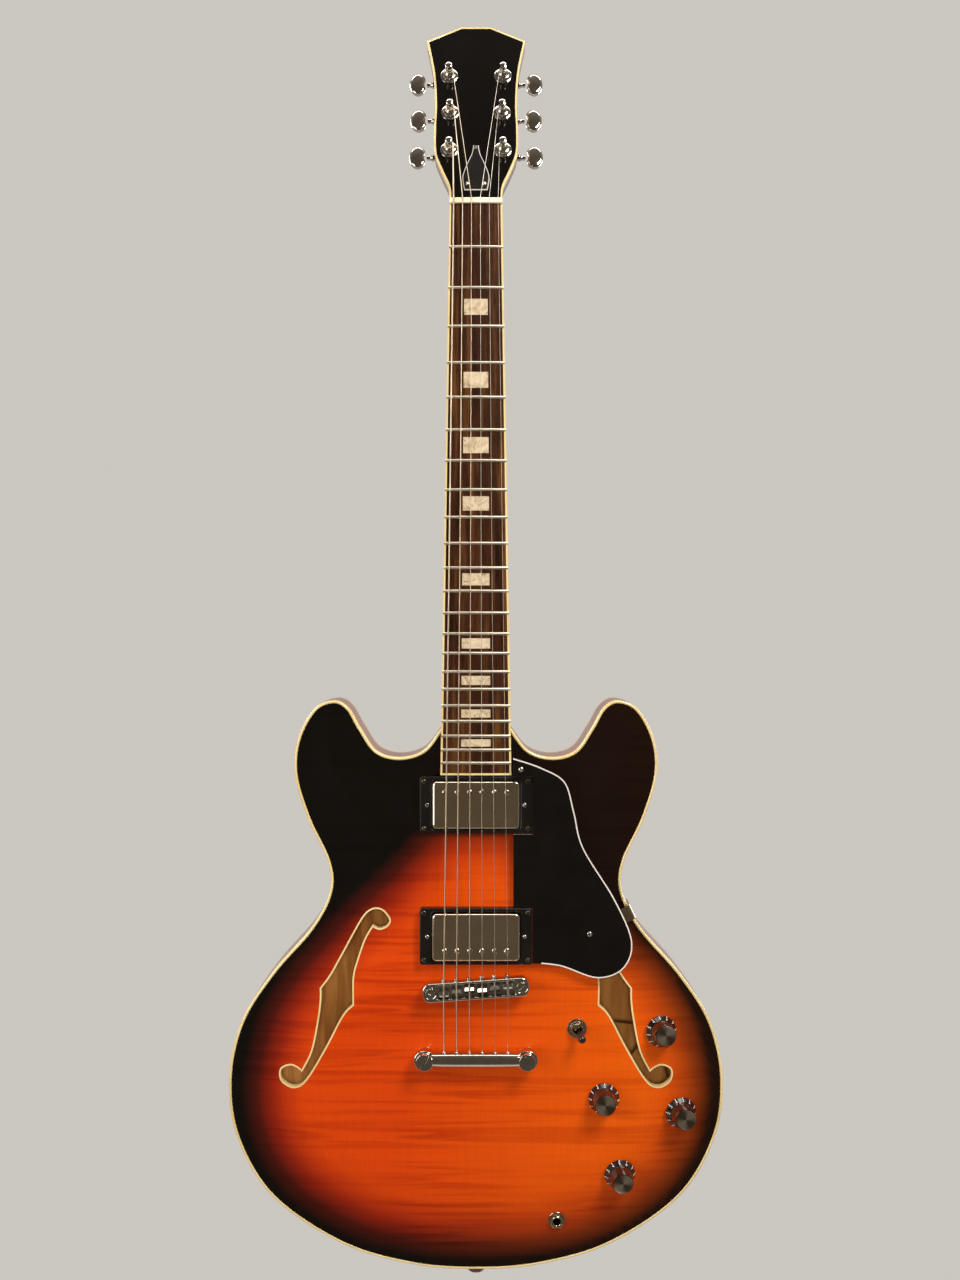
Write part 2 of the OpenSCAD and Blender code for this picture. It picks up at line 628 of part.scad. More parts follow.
module bridge_body() color(CHROME) bridge_frame() translate([0, bridge_low_y - bridge_h, 0]) difference() {
    rounded_bar(bridge_span + 12, bridge_w, bridge_h, 6);
    translate([-channel_half, -1, -channel_w / 2]) cube([2 * channel_half, bridge_h - 0.8, channel_w]);
    for (s = [-1, 1]) {
        translate([s * bridge_span / 2, 0, 0]) rotate([90, 0, 0]) cylinder(h = 60, r = 2.15, center = true);
        translate([s * bridge_span / 2, 0.9, 0]) rotate([90, 0, 0]) cylinder(h = 10, r = 4.2);
    }
    for (n = [1:6]) {
        translate([string_bridge_x(n), 4, 0]) cylinder(h = 60, r = 1.02, center = true);
        translate([string_bridge_x(n), -1, 0]) rotate([0, bridge_slant, 0])
            translate([-STRING_RADII[n - 1] - 0.25, 0, -20]) cube([2 * STRING_RADII[n - 1] + 0.5, 3, 40]);
    }
}

// Stud with its threaded anchor, height wheel and slotted head
module bridge_posts() color(CHROME) for (s = [-1, 1]) at_post(s) rotate([90, 0, 0]) {
    translate([0, 0, -22]) cylinder(h = 22, r = anchor_r);
    cylinder(h = 6, r = 2);
    translate([0, 0, 3]) cylinder(h = 3.4, r = 6.5);
    translate([0, 0, 6]) cylinder(h = bridge_h + 0.6, r = 2);
    translate([0, 0, 6.5 + bridge_h - 0.85]) difference() {
        cylinder(h = 1.3, r = 4);
        translate([-5, -0.5, 0.5]) cube([10, 1, 2]);
    }
}

module saddle(n) color(CHROME) bridge_frame()
    translate([string_bridge_x(n), bridge_low_y - bridge_h, SADDLE_SHIFTS[n - 1]]) difference() {
        rotate([90, 0, 90]) linear_extrude(saddle_w, center = true)
            polygon([[6.6, -saddle_len / 2], [6.6, saddle_len / 2], [0.6, saddle_len / 2], [saddle_peak(n), 0], [0.6, -saddle_len / 2]]);
        translate([-STRING_RADII[n - 1] - saddle_side_gap, saddle_peak(n) - 3, -10])
            cube([2 * (STRING_RADII[n - 1] + saddle_side_gap), 3 + STRING_RADII[n - 1] + saddle_drop, 20]);
        translate([0, 4, 0]) cylinder(h = 20, r = 1.04, center = true);
    }
// Height of a saddle's edge, measured back from the top of the bridge body
function saddle_peak(n) = string_y(n, 1) - (bridge_low_y - bridge_h);
// Depth of string n at the nut (k = 0) or the saddle (k = 1), in the body's frame
function string_y(n, k) = k == 0 ? crown(across(n) * string_half_nut) - nut_h
    : string_y_bridge + crown(string_bridge_x(n));

module intonation_screws() color(CHROME) bridge_frame() for (n = [1:6])
    translate([string_bridge_x(n), bridge_low_y - bridge_h + 4, -bridge_w / 2 - 0.1]) {
        cylinder(h = bridge_w + 0.2, r = 0.98, $fn = 20);
        translate([0, 0, bridge_w + 0.15]) cylinder(h = 2.2, r = 1.9, $fn = 20);
    }

// ---- tailpiece ----
tailpiece_z = -688;
tailpiece_mid_y = flat_y - 9.5;
tail_bar_r = 6.3;
stud_head_r = 6.8;
module at_stud(s) translate([s * tail_span / 2, flat_y, tailpiece_z]) children();

module tailpiece() color(CHROME) difference() {
    union() {
        translate([0, tailpiece_mid_y, tailpiece_z]) rotate([0, 90, 0]) scale([1.08, 1, 1])
            cylinder(h = tail_span - 12, r = tail_bar_r, center = true);
        for (s = [-1, 1]) translate([s * tail_span / 2, tailpiece_mid_y - 3.6, tailpiece_z]) rounded_bar(17, 15, 7.2, 7.2);
    }
    for (s = [-1, 1]) at_stud(s) rotate([90, 0, 0]) {
        cylinder(h = 80, r = 4.05, center = true);
        translate([0, 0, -10]) cylinder(h = 15.85, r = stud_head_r + 0.15);
        translate([0, 0, 13.15]) cylinder(h = 20, r = stud_head_r + 0.15);
    }
    for (n = [1:6]) translate([string_bridge_x(n), tailpiece_mid_y + 0.5, tailpiece_z]) {
        cylinder(h = 40, r = 1.4, center = true, $fn = 24);
        translate([0, 0, -10]) cylinder(h = 6.5, r = 2.3, $fn = 24);
    }
}

module tailpiece_studs() color(CHROME) for (s = [-1, 1]) at_stud(s) rotate([90, 0, 0]) {
    translate([0, 0, -22]) cylinder(h = 22, r = anchor_r);
    cylinder(h = 18, r = 4);
    cylinder(h = 5.8, r = stud_head_r);
    translate([0, 0, 13.2]) difference() {
        cylinder(h = 5.2, r = stud_head_r);
        translate([-8, -0.8, 3.2]) cube([16, 1.6, 3]);
    }
}

// ---- strings ----
module rod(a, b, r) {
    d = b - a;
    translate(a) rotate([0, acos(d[2] / norm(d)), atan2(d[1], d[0])])
        translate([0, 0, -r / 4]) cylinder(h = norm(d) + r / 2, r = r, $fn = 8);
}
function lean(p, a) = [p[0], p[1] * cos(a) + p[2] * sin(a), -p[1] * sin(a) + p[2] * cos(a)];
coil_turns = 3;
coil_y = -10.2;
// Post used by string n: 1 to 3 on the bass side from the nut up, and 4 to 6 on the treble side from the tip down
function string_post(n) = n;
function post_place(n) = let (i = string_post(n))
    [tuner_side(i) * TUNER_XS[tuner_row(i)], coil_y, TUNER_ZS[tuner_row(i)]];
function head_point(p) = lean(lean(p, head_angle) + [0, 0, nut_len], neck_angle);
function nut_point(n, z) = lean([across(n) * string_half_nut, string_y(n, 0), z], neck_angle);
coil_gap = 0.15;

module strings() color("silver") for (n = [1:6]) {
    r = STRING_RADII[n - 1];
    x = string_bridge_x(n);
    dz = SADDLE_SHIFTS[n - 1] + bridge_z + x * tan(bridge_slant);
    saddle_point = [x, string_y(n, 1), dz];
    nut_front = nut_point(n, 0);
    nut_back = nut_point(n, nut_len - 0.3);
    post = post_place(n);
    wrap_r = post_r - 0.6 + coil_gap + r;
    inward = -tuner_side(string_post(n));
    end = head_point([post[0] + inward * wrap_r, coil_y, post[2]]);
    tail_point = [x, tailpiece_mid_y + 0.5, tailpiece_z + 8];
    union() {
        rod([x, tailpiece_mid_y + 0.5, tailpiece_z - 6], tail_point, r);
        rod(tail_point, saddle_point, r);
        rod(saddle_point, nut_front, r);
        rod(nut_front, nut_back, r);
        rod(nut_back, end, r);
        translate([x, tailpiece_mid_y + 0.5, tailpiece_z - 8.4]) cylinder(h = 3, r = 1.9, $fn = 24);
    }
    head_frame() translate(post) rotate([90, 0, 0]) rotate_extrude()
        for (k = [0:coil_turns - 1]) translate([wrap_r, -k * 1.7 * r]) circle(r, $fn = 8);
}

// ---- pickguard ----
GUARD_KNOTS = [
    [30, -447], [52, -454.5], [71, -466], [78.5, -490], [86, -519], [111, -560], [125, -594],
    [118, -616], [97, -623.5], [68, -614], [46, -611.5]
];
guard_edge = concat(spline(GUARD_KNOTS, 4), [[30, -611.5]]);
guard_y = flat_y - 6.5;
guard_t = 2.5;
GUARD_SCREWS = [[36, -456], [91, -588]];
guard_clear = 0.4;

module pickguard() color(BLACK) difference() {
    slab(guard_y, guard_y + guard_t) difference() {
        polygon(guard_edge);
        for (z = pickup_zs) translate([-60, z - ring_l / 2 - guard_clear]) square([60 + ring_w / 2 + guard_clear, ring_l + 2 * guard_clear]);
    }
    for (p = GUARD_SCREWS) translate([p[0], 0, p[1]]) rotate([90, 0, 0]) cylinder(h = 120, r = 1.05, center = true);
}

// Bent strip that carries the guard's outer edge from the side of the body
bracket_w = 12;
bracket_place = [124.4, -571.2];
bracket_turn = -25.5;
module pickguard_bracket() color(CHROME)
    translate([bracket_place[0], guard_y + guard_t + 0.1, bracket_place[1]]) rotate([0, bracket_turn, 0]) {
        translate([-24, 0, -bracket_w / 2]) cube([25.8, 1.2, bracket_w]);
        translate([0.6, 0, -bracket_w / 2]) cube([1.2, 22, bracket_w]);
    }

// ---- controls ----
pot_r = 8.2;
pot_depth = 11;
module potentiometers() color("silver") for (p = KNOB_PLACES) on_top(p) difference() {
    union() {
        translate([0, 0, -plate_t - pot_depth]) cylinder(h = pot_depth - 1, r = pot_r);
        translate([0, 0, -plate_t - 1.5]) cylinder(h = plate_t + 3.9, r = 4.6);
    }
    translate([0, 0, -plate_t - 8.5]) cylinder(h = 30, r = 3.05);
}

module ring_nut(flat_r, h, r) difference() {
    cylinder(h = h, r = flat_r, $fn = 6);
    translate([0, 0, -1]) cylinder(h = h + 2, r = r);
}

module washer(outer, h, r) difference() {
    cylinder(h = h, r = outer);
    translate([0, 0, -1]) cylinder(h = h + 2, r = r);
}

module panel_nuts() color(CHROME) {
    for (p = KNOB_PLACES) on_top(p) {
        translate([0, 0, 0.5]) washer(7.2, 0.5, 4.7);
        translate([0, 0, 1.02]) ring_nut(6.4, 1.3, 4.7);
    }
    on_top(SWITCH_PLACE) {
        translate([0, 0, 0.3]) washer(8, 0.8, 5);
        translate([0, 0, 1.12]) washer(6.6, 2.6, 5);
    }
    on_top(JACK_PLACE) {
        translate([0, 0, 0.5]) washer(7, 0.5, 4.7);
        translate([0, 0, 1.02]) ring_nut(6.4, 2, 4.7);
    }
}

knob_lift = 3;
knob_h = 15.5;
// Skirted knob with a metal cap, and the pot's shaft pressed into it
module control_knob(p) color(BLACK) on_top(p) {
    difference() {
        union() {
            translate([0, 0, knob_lift]) cylinder(h = 1.2, r = knob_d / 2);
            translate([0, 0, knob_lift + 1.2]) cylinder(h = 4, r1 = knob_d / 2, r2 = 9.4);
            translate([0, 0, knob_lift + 5.2]) cylinder(h = knob_h - 5.2, r1 = 9.4, r2 = 8.2);
        }
        translate([0, 0, -1]) cylinder(h = 12, r = 3.02);
    }
    translate([0, 0, -plate_t - 8]) cylinder(h = plate_t + 18.8, r = 2.98);
}

module switch_body() color("silver") on_top(SWITCH_PLACE) difference() {
    union() {
        rotate([0, 0, lever_turn]) translate([-9, -14, -plate_t - 22]) cube([18, 28, 21]);
        translate([0, 0, -plate_t - 1.5]) cylinder(h = plate_t + 6.5, r = 4.95);
    }
    translate([0, 0, -plate_t - 18]) cylinder(h = 19, r1 = 7, r2 = 3.4);
    translate([0, 0, -plate_t - 1]) cylinder(h = 20, r = 3.4);
}

lever_tilt = 14;
lever_turn = 38;
lever_pivot = -1;
module switch_arm() on_top(SWITCH_PLACE) translate([0, 0, lever_pivot])
    rotate([0, 0, lever_turn]) rotate([lever_tilt, 0, 0]) children();
module switch_lever() color("silver") switch_arm() {
    translate([0, 0, -8]) cylinder(h = 19, r = 1.4);
    sphere(3.34, $fn = 32);
}
module switch_tip() color(BLACK) switch_arm() difference() {
    union() {
        translate([0, 0, 8.2]) cylinder(h = 10, r1 = 2, r2 = 3);
        translate([0, 0, 18.2]) sphere(3.3, $fn = 32);
    }
    translate([0, 0, 7]) cylinder(h = 4.1, r = 1.42);
}

module output_jack() color("silver") on_top(JACK_PLACE) difference() {
    union() {
        translate([0, 0, -plate_t - 24]) cylinder(h = 23, r = 8);
        translate([0, 0, -plate_t - 1.5]) cylinder(h = plate_t + 5.2, r = 4.65);
    }
    translate([0, 0, -plate_t - 22]) cylinder(h = 60, r = jack_r);
}

// ---- strap buttons and screws ----
heel_back_y = 16;
heel_button_z = -413.5;
module strap_button() difference() {
    rotate_extrude() polygon([[0, 0], [6.4, 0], [6.4, 1.2], [4, 3.2], [4, 6.4], [7, 8.2], [7, 10.2], [0, 10.2]]);
    translate([0, 0, -1]) cylinder(h = 30, r = 1.7);
    translate([0, 0, 8.2]) cylinder(h = 30, r = 3.2);
}
module at_tail_button() translate([0, 2, tail_z - 0.1]) rotate([180, 0, 0]) children();
module at_heel_button() translate([0, heel_back_y + 0.1, heel_button_z]) rotate([-90, 0, 0]) children();
module strap_buttons() color(CHROME) {
    at_tail_button() strap_button();
    at_heel_button() strap_button();
}

module wood_screw(r, h, head_r) {
    translate([0, 0, -h]) cylinder(h = h, r = r, $fn = 24);
    difference() {
        cylinder(h = head_r * 0.5, r1 = head_r, r2 = head_r * 0.6, $fn = 24);
        translate([-head_r, -0.2, head_r * 0.25]) cube([2 * head_r, 0.4, 2]);
        translate([-0.2, -head_r, head_r * 0.25]) cube([0.4, 2 * head_r, 2]);
    }
}

module trim_screws() color(CHROME) {
    for (k = [0, 1]) translate([0, flat_y - RING_HS[k] - 0.03, pickup_zs[k]]) rotate([90, 0, 0]) {
        for (sx = [-1, 1], sz = [-1, 1]) translate([sx * 41.6, sz * 19, 0]) wood_screw(1, RING_HS[k] - 0.2, 2.1);
        for (sx = [-1, 1]) translate([sx * 39, 0, 0]) wood_screw(0.9, RING_HS[k] + 10.8, 1.7);
    }
    head_frame() translate([0, -veneer_t - 2.23, 0]) rotate([90, 0, 0]) for (p = COVER_SCREWS)
        translate([p[0], p[1], 0]) wood_screw(0.9, 2, 1.7);
    translate([0, guard_y - 0.03, 0]) rotate([90, 0, 0]) for (p = GUARD_SCREWS)
        translate([p[0], p[1], 0]) wood_screw(1, guard_t + 2, 2.2);
    at_tail_button() translate([0, 0, 8.3]) wood_screw(1.55, 26, 3);
    at_heel_button() translate([0, 0, 8.3]) wood_screw(1.55, 22, 3);
}

// Insulated leads inside the hollow treble side
wire_r = 1;
module wire(points) {
    for (i = [0:len(points) - 2]) rod(points[i], points[i + 1], wire_r);
}
// Point at height h over the face, along its normal at place p
function top_point(p, h) = let (g = arch_slope(p))
    [p[0], rim_front - arch(p), p[1]] + h * [-g[0], -1, -g[1]] / norm([g[0], 1, g[1]]);
lead_h = -plate_t - pot_depth - 1.3;
module wiring() color("dimgray") {
    pots = [for (p = KNOB_PLACES) top_point(p, lead_h)];
    toggle = top_point(SWITCH_PLACE, -plate_t - 26);
    socket = top_point(JACK_PLACE, -plate_t - 25.3);
    wire([[-36, 4, -616], [60, 4, -616], toggle, pots[0], pots[1], pots[3], [84, 11, -806], socket]);
    wire([pots[0] + [3, 0, 0], pots[2], pots[3] + [3, 0, 0]]);
}

KNOB_NAMES = ["neck_volume_knob", "neck_tone_knob", "bridge_volume_knob", "bridge_tone_knob"];
KNOB_ORDER = [0, 2, 1, 3];

top_plate();
back_plate();
rim();
centre_block();
bindings();
linings();
neck();
headstock_veneer();
fingerboard();
neck_binding();
frets();
inlays();
nut();
truss_rod();
truss_rod_cover();
pickguard();
pickguard_bracket();
pickup_rings();
pickup_covers();
pickup_coils();
pole_screws();
bridge_body();
bridge_posts();
intonation_screws();
tailpiece();
tailpiece_studs();
strings();
tuner_housings();
tuner_bushings();
potentiometers();
switch_body();
output_jack();
panel_nuts();
strap_buttons();
trim_screws();
wiring();
for (i = [1:6]) {
    color(CHROME) at_tuner(i) tuner_key();
    color(CHROME) at_tuner(i) tuner_post();
    saddle(i);
}
for (i = [0:3]) {
    control_knob(KNOB_PLACES[KNOB_ORDER[i]]);
}
switch_lever();
switch_tip();
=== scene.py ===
"""A thinline semi-hollow electric guitar with a sunburst top, dressed for display."""

import logging
import math
from dataclasses import dataclass
from enum import Enum
from typing import Any, Callable, Iterable, Sequence

import bmesh
import bpy
import numpy as np
from mathutils import Matrix, Vector
from mathutils.geometry import delaunay_2d_cdt


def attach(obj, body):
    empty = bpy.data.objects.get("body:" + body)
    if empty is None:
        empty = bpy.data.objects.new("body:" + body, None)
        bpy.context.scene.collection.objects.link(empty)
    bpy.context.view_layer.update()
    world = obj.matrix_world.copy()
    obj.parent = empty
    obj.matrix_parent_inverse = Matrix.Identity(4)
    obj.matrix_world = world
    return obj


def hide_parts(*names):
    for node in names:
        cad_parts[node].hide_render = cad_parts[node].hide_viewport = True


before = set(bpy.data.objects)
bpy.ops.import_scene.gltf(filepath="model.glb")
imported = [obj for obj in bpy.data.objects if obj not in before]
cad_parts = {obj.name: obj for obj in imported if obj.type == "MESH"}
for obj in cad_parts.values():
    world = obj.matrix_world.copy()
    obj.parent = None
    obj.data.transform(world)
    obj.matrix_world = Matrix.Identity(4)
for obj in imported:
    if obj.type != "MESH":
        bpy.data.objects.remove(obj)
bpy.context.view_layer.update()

LOG = logging.getLogger("guitar")
MM = 0.001
Flat = Sequence[tuple[float, float]]
Colour = tuple[float, float, float]
STRINGS = range(1, 7)


class Side(Enum):
    """The two sides of the neck."""

    BASS = -1
    TREBLE = 1


class Grain(Enum):
    """Which way a wood's grain runs in the guitar's frame."""

    ALONG = (26.0, 26.0, 1.6)
    UPRIGHT = (70.0, 70.0, 3.0)


# ---------------------------------------------------------------- finishes


def linear(red: int, green: int, blue: int) -> tuple[float, float, float, float]:
    """Turns a display colour from 0 to 255 into a linear one.

    Args:
        red: Red, from 0 to 255.
        green: Green, from 0 to 255.
        blue: Blue, from 0 to 255.

    Returns:
        The linear colour with full alpha.
    """
    shares = [c / 255 for c in (red, green, blue)]
    r, g, b = [s / 12.92 if s <= 0.04045 else ((s + 0.055) / 1.055) ** 2.4 for s in shares]
    return (r, g, b, 1.0)


class Graph:
    """A material's node graph, with short ways to add and join nodes."""

    def __init__(self, name: str) -> None:
        """Starts a material with only its shader and output.

        Args:
            name: The material's name.
        """
        self.material = bpy.data.materials.new(name)
        self.material.use_nodes = True
        self.nodes = self.material.node_tree.nodes
        self.links = self.material.node_tree.links
        self.shader = self.nodes["Principled BSDF"]

    def add(self, kind: str, settings: dict[str, Any] | None = None, **sockets: Any) -> bpy.types.Node:
        """Adds a node.

        Args:
            kind: The node's type.
            settings: Properties to set on it.
            **sockets: Inputs by name, with spaces as underscores. An output socket is linked in.

        Returns:
            The new node.
        """
        node = self.nodes.new(kind)
        for key, value in (settings or {}).items():
            setattr(node, key, value)
        for key, value in sockets.items():
            self.put(node, key.replace("_", " "), value)
        return node

    def put(self, node: bpy.types.Node, key: str | int, value: Any) -> None:
        """Sets or links one input of a node."""
        if isinstance(value, bpy.types.NodeSocket):
            self.links.new(value, node.inputs[key])
        else:
            node.inputs[key].default_value = value

    def shade(self, **sockets: Any) -> None:
        """Sets or links inputs of the shader, with spaces as underscores."""
        for key, value in sockets.items():
            self.put(self.shader, key.replace("_", " "), value)

    def math(self, operation: str, a: Any, b: Any = 0.0) -> bpy.types.NodeSocket:
        """Adds a sum and returns its output."""
        node = self.add("ShaderNodeMath", {"operation": operation})
        self.put(node, 0, a)
        self.put(node, 1, b)
        return node.outputs[0]

    def place(self, scale: Sequence[float]) -> bpy.types.NodeSocket:
        """Object coordinates stretched by a scale for each axis."""
        coordinates = self.add("ShaderNodeTexCoord").outputs["Object"]
        return self.add("ShaderNodeMapping", Vector=coordinates, Scale=tuple(scale)).outputs[0]

    def noise(
        self, scale: Sequence[float], size: float = 1.0, detail: float = 4.0, bend: float = 0.0
    ) -> bpy.types.NodeSocket:
        """Noise on stretched object coordinates.

        Args:
            scale: The stretch for each axis.
            size: The noise's own scale.
            detail: The noise's detail.
            bend: The noise's distortion.

        Returns:
            The value output.
        """
        node = self.add(
            "ShaderNodeTexNoise", Vector=self.place(scale), Scale=size, Detail=detail, Distortion=bend
        )
        return node.outputs[0]

    def ramp(
        self, factor: Any, *stops: tuple[float, tuple[float, float, float, float]]
    ) -> bpy.types.NodeSocket:
        """Adds a colour ramp.

        Args:
            factor: What drives it.
            *stops: Positions with their linear colours.

        Returns:
            The colour output.
        """
        node = self.add("ShaderNodeValToRGB")
        band = node.color_ramp
        while len(band.elements) < len(stops):
            band.elements.new(0.5)
        for element, (position, colour) in zip(band.elements, stops):
            element.position = position
            element.color = colour
        self.put(node, 0, factor)
        return node.outputs[0]

    def mix(self, factor: Any, a: Any, b: Any, way: str = "MIX") -> bpy.types.NodeSocket:
        """Mixes two colours and returns the result."""
        node = self.add("ShaderNodeMix", {"data_type": "RGBA", "blend_type": way})
        self.put(node, 0, factor)
        self.put(node, 6, a)
        self.put(node, 7, b)
        return node.outputs[2]

    def bump(self, height: Any, strength: float, depth: float) -> bpy.types.NodeSocket:
        """Turns a height into a normal."""
        return self.add("ShaderNodeBump", Height=height, Strength=strength, Distance=depth).outputs[0]

    def wear(self, low: float, high: float, size: float = 60.0) -> bpy.types.NodeSocket:
        """A roughness that drifts between two values, as handling leaves it."""
        node = self.add("ShaderNodeMapRange", Value=self.noise((1, 1, 1), size, 5.0))
        for key, value in ((1, 0.3), (2, 0.7), (3, low), (4, high)):
            node.inputs[key].default_value = value
        return node.outputs[0]


@dataclass(frozen=True)
class Finish:
    """A named finish. Each kind paints its own graph."""

    name: str

    def paint(self, graph: Graph) -> None:
        """Paints the graph. Each kind of finish has its own."""
        raise NotImplementedError

    def make(self) -> bpy.types.Material:
        """The material, made once and kept."""
        title = f"{self.name}_finish"
        found = bpy.data.materials.get(title)
        if found:
            return found
        graph = Graph(title)
        self.paint(graph)
        return graph.material


@dataclass(frozen=True)
class Sunburst(Finish):
    """Clear gloss lacquer over flamed maple, shaded from orange to black at the edge."""

    middle: tuple[int, int, int] = (214, 68, 7)
    # Painted highlight: the brighter amber that the treble side is mixed towards, standing in for the key
    # light from the upper right.
    amber: tuple[int, int, int] = (236, 100, 8)
    glow: tuple[int, int, int] = (186, 52, 9)
    red: tuple[int, int, int] = (142, 32, 9)
    wine: tuple[int, int, int] = (70, 15, 8)
    edge: tuple[int, int, int] = (7, 5, 4)
    flame: float = 0.5
    # lean and the share below set how fast the painted highlight grows across the body and how much of it
    # lies on the centre line.
    lean: float = 4.0
    amber_share: float = 0.25

    def paint(self, graph: Graph) -> None:
        """Shades by the burst attribute, with a painted highlight towards the treble side and flame bands
        across the grain.
        """
        burst = graph.add("ShaderNodeAttribute", {"attribute_name": "burst"}).outputs["Fac"]
        drift = graph.math("MULTIPLY", graph.math("SUBTRACT", graph.noise((9, 9, 9), 1.0, 3.0), 0.5), 0.04)
        colour = graph.ramp(
            graph.math("ADD", burst, drift),
            (0.02, linear(*self.edge)),
            (0.26, linear(*self.wine)),
            (0.50, linear(*self.red)),
            (0.70, linear(*self.glow)),
            (0.95, linear(*self.middle)),
        )
        # Painted highlight: towards the treble side (positive X) the colour is mixed ever more towards the
        # brighter amber, standing in for light falling from the upper right.
        across = graph.add("ShaderNodeSeparateXYZ", Vector=graph.place((1, 1, 1))).outputs[0]
        lit_side_lean = graph.math("ADD", graph.math("MULTIPLY", across, self.lean), self.amber_share)
        share = graph.math("MULTIPLY", lit_side_lean, burst)
        share.node.use_clamp = True
        colour = graph.mix(share, colour, linear(*self.amber))
        bands = graph.ramp(
            graph.noise((5.5, 20, 150), 1.0, 3.5, 1.0),
            (0.36, (0.52, 0.22, 0.12, 1)),
            (0.50, (0.97, 0.93, 0.88, 1)),
            (0.66, (1.10, 1.14, 1.2, 1)),
        )
        patch = graph.ramp(graph.noise((7, 7, 5), 1.0, 2.0), (0.35, (0, 0, 0, 1)), (0.65, (1, 1, 1, 1)))
        share = graph.math("MULTIPLY", patch, self.flame)
        share = graph.math("ADD", share, self.flame * 0.35)
        figured = graph.mix(share, colour, graph.mix(1.0, colour, bands, "MULTIPLY"))
        pores = graph.ramp(
            graph.noise((900, 900, 24), 1.0, 2.0), (0.35, (0.82, 0.8, 0.78, 1)), (0.6, (1, 1, 1, 1))
        )
        graph.shade(
            Base_Color=graph.mix(0.25, figured, graph.mix(1.0, figured, pores, "MULTIPLY")),
            Roughness=graph.wear(0.30, 0.42, 30),
            Coat_Weight=1.0,
            Coat_Roughness=0.035,
            Coat_IOR=1.52,
            Coat_Normal=graph.bump(graph.noise((1, 1, 1), 26.0, 2.0), 0.06, 0.0006),
            Specular_IOR_Level=0.05,
        )


@dataclass(frozen=True)
class GlossWood(Finish):
    """Stained and lacquered wood with its grain and figure showing."""

    dark: tuple[int, int, int] = (62, 20, 9)
    light: tuple[int, int, int] = (128, 52, 20)
    grain: Grain = Grain.ALONG
    coat: float = 1.0
    roughness: tuple[float, float] = (0.3, 0.42)

    def paint(self, graph: Graph) -> None:
        """Long grain lines, cross figure and a clear coat."""
        lines = graph.noise(self.grain.value, 5.0, 6.0, 0.8)
        figure = graph.noise((40, 40, 9), 1.0, 3.0, 0.6)
        tone = graph.math("ADD", graph.math("MULTIPLY", lines, 0.62), graph.math("MULTIPLY", figure, 0.38))
        colour = graph.ramp(tone, (0.34, linear(*self.dark)), (0.68, linear(*self.light)))
        graph.shade(
            Base_Color=colour,
            Roughness=graph.wear(*self.roughness, 40),
            Coat_Weight=self.coat,
            Coat_Roughness=0.05,
            Normal=graph.bump(lines, 0.05, 0.0005),
        )


@dataclass(frozen=True)
class Rosewood(Finish):
    """Open-pored dark board wood, oiled."""

    def paint(self, graph: Graph) -> None:
        """Dark streaks, brown ground and fine pores along the board."""
        streaks = graph.noise((150, 150, 5), 1.0, 6.0, 0.5)
        colour = graph.ramp(
            streaks, (0.30, linear(30, 14, 7)), (0.50, linear(62, 34, 18)), (0.72, linear(108, 70, 36))
        )
        pores = graph.noise((1700, 1700, 60), 1.0, 2.0)
        marks = graph.ramp(pores, (0.36, (0.35, 0.32, 0.3, 1)), (0.45, (1, 1, 1, 1)))
        graph.shade(
            Base_Color=graph.mix(0.8, colour, graph.mix(1.0, colour, marks, "MULTIPLY")),
            Roughness=graph.wear(0.38, 0.55, 70),
            Normal=graph.bump(pores, 0.25, 0.0002),
            Specular_IOR_Level=0.1,
        )


@dataclass(frozen=True)
class Plastic(Finish):
    """A moulded or sheet plastic."""

    colour: tuple[int, int, int] = (20, 18, 17)
    shade_to: tuple[int, int, int] = (26, 23, 21)
    roughness: tuple[float, float] = (0.22, 0.34)
    coat: float = 0.0
    grain: float = 0.03
    cloud: float = 24.0
    shine: float = 0.5

    def paint(self, graph: Graph) -> None:
        """A ground that drifts a little, with fine surface texture."""
        tone = graph.noise((1, 1, 1), self.cloud, 4.0)
        graph.shade(
            Base_Color=graph.ramp(tone, (0.35, linear(*self.colour)), (0.65, linear(*self.shade_to))),
            Roughness=graph.wear(*self.roughness),
            Coat_Weight=self.coat,
            Coat_Roughness=0.06,
            Normal=graph.bump(graph.noise((1, 1, 1), 700.0, 3.0), self.grain, 0.0002),
            Specular_IOR_Level=self.shine,
        )


@dataclass(frozen=True)
class Pearl(Finish):
    """Pearl sheet with swirled pale patches."""

    def paint(self, graph: Graph) -> None:
        """Bent patches from warm white to grey, with a soft sheen."""
        bent = graph.add(
            "ShaderNodeTexNoise", Vector=graph.place((1, 1, 1)), Scale=55.0, Detail=3.0, Distortion=2.4
        )
        cells = graph.add(
            "ShaderNodeTexVoronoi", {"feature": "SMOOTH_F1"}, Vector=bent.outputs[1], Scale=5.0
        )
        colour = graph.ramp(
            cells.outputs[0], (0.05, linear(142, 126, 102)), (0.3, linear(206, 188, 158)), (
                0.75, linear(246, 230, 202)
            )
        )
        graph.shade(
            Base_Color=colour, Roughness=0.2, Coat_Weight=0.6, Coat_Roughness=0.08, Metallic=0.12,
            Specular_IOR_Level=0.7
        )


@dataclass(frozen=True)
class Plating(Finish):
    """Plated or polished metal."""

    colour: tuple[int, int, int] = (214, 212, 208)
    roughness: tuple[float, float] = (0.05, 0.13)
    stretch: tuple[float, float, float] = (1.0, 1.0, 1.0)
    texture: float = 0.02
    fine: float = 240.0

    def paint(self, graph: Graph) -> None:
        """Metal with faint clouds of wear and fine polishing marks."""
        cloud = graph.noise((1, 1, 1), 45.0, 4.0)
        red, green, blue, _ = linear(*self.colour)
        low = (red * 0.86, green * 0.85, blue * 0.83, 1.0)
        marks = graph.noise(self.stretch, self.fine, 3.0)
        graph.shade(
            Base_Color=graph.ramp(cloud, (0.3, low), (0.7, (red, green, blue, 1.0))),
            Metallic=1.0,
            Roughness=graph.wear(*self.roughness, 90),
            Normal=graph.bump(marks, self.texture, 0.0001),
        )


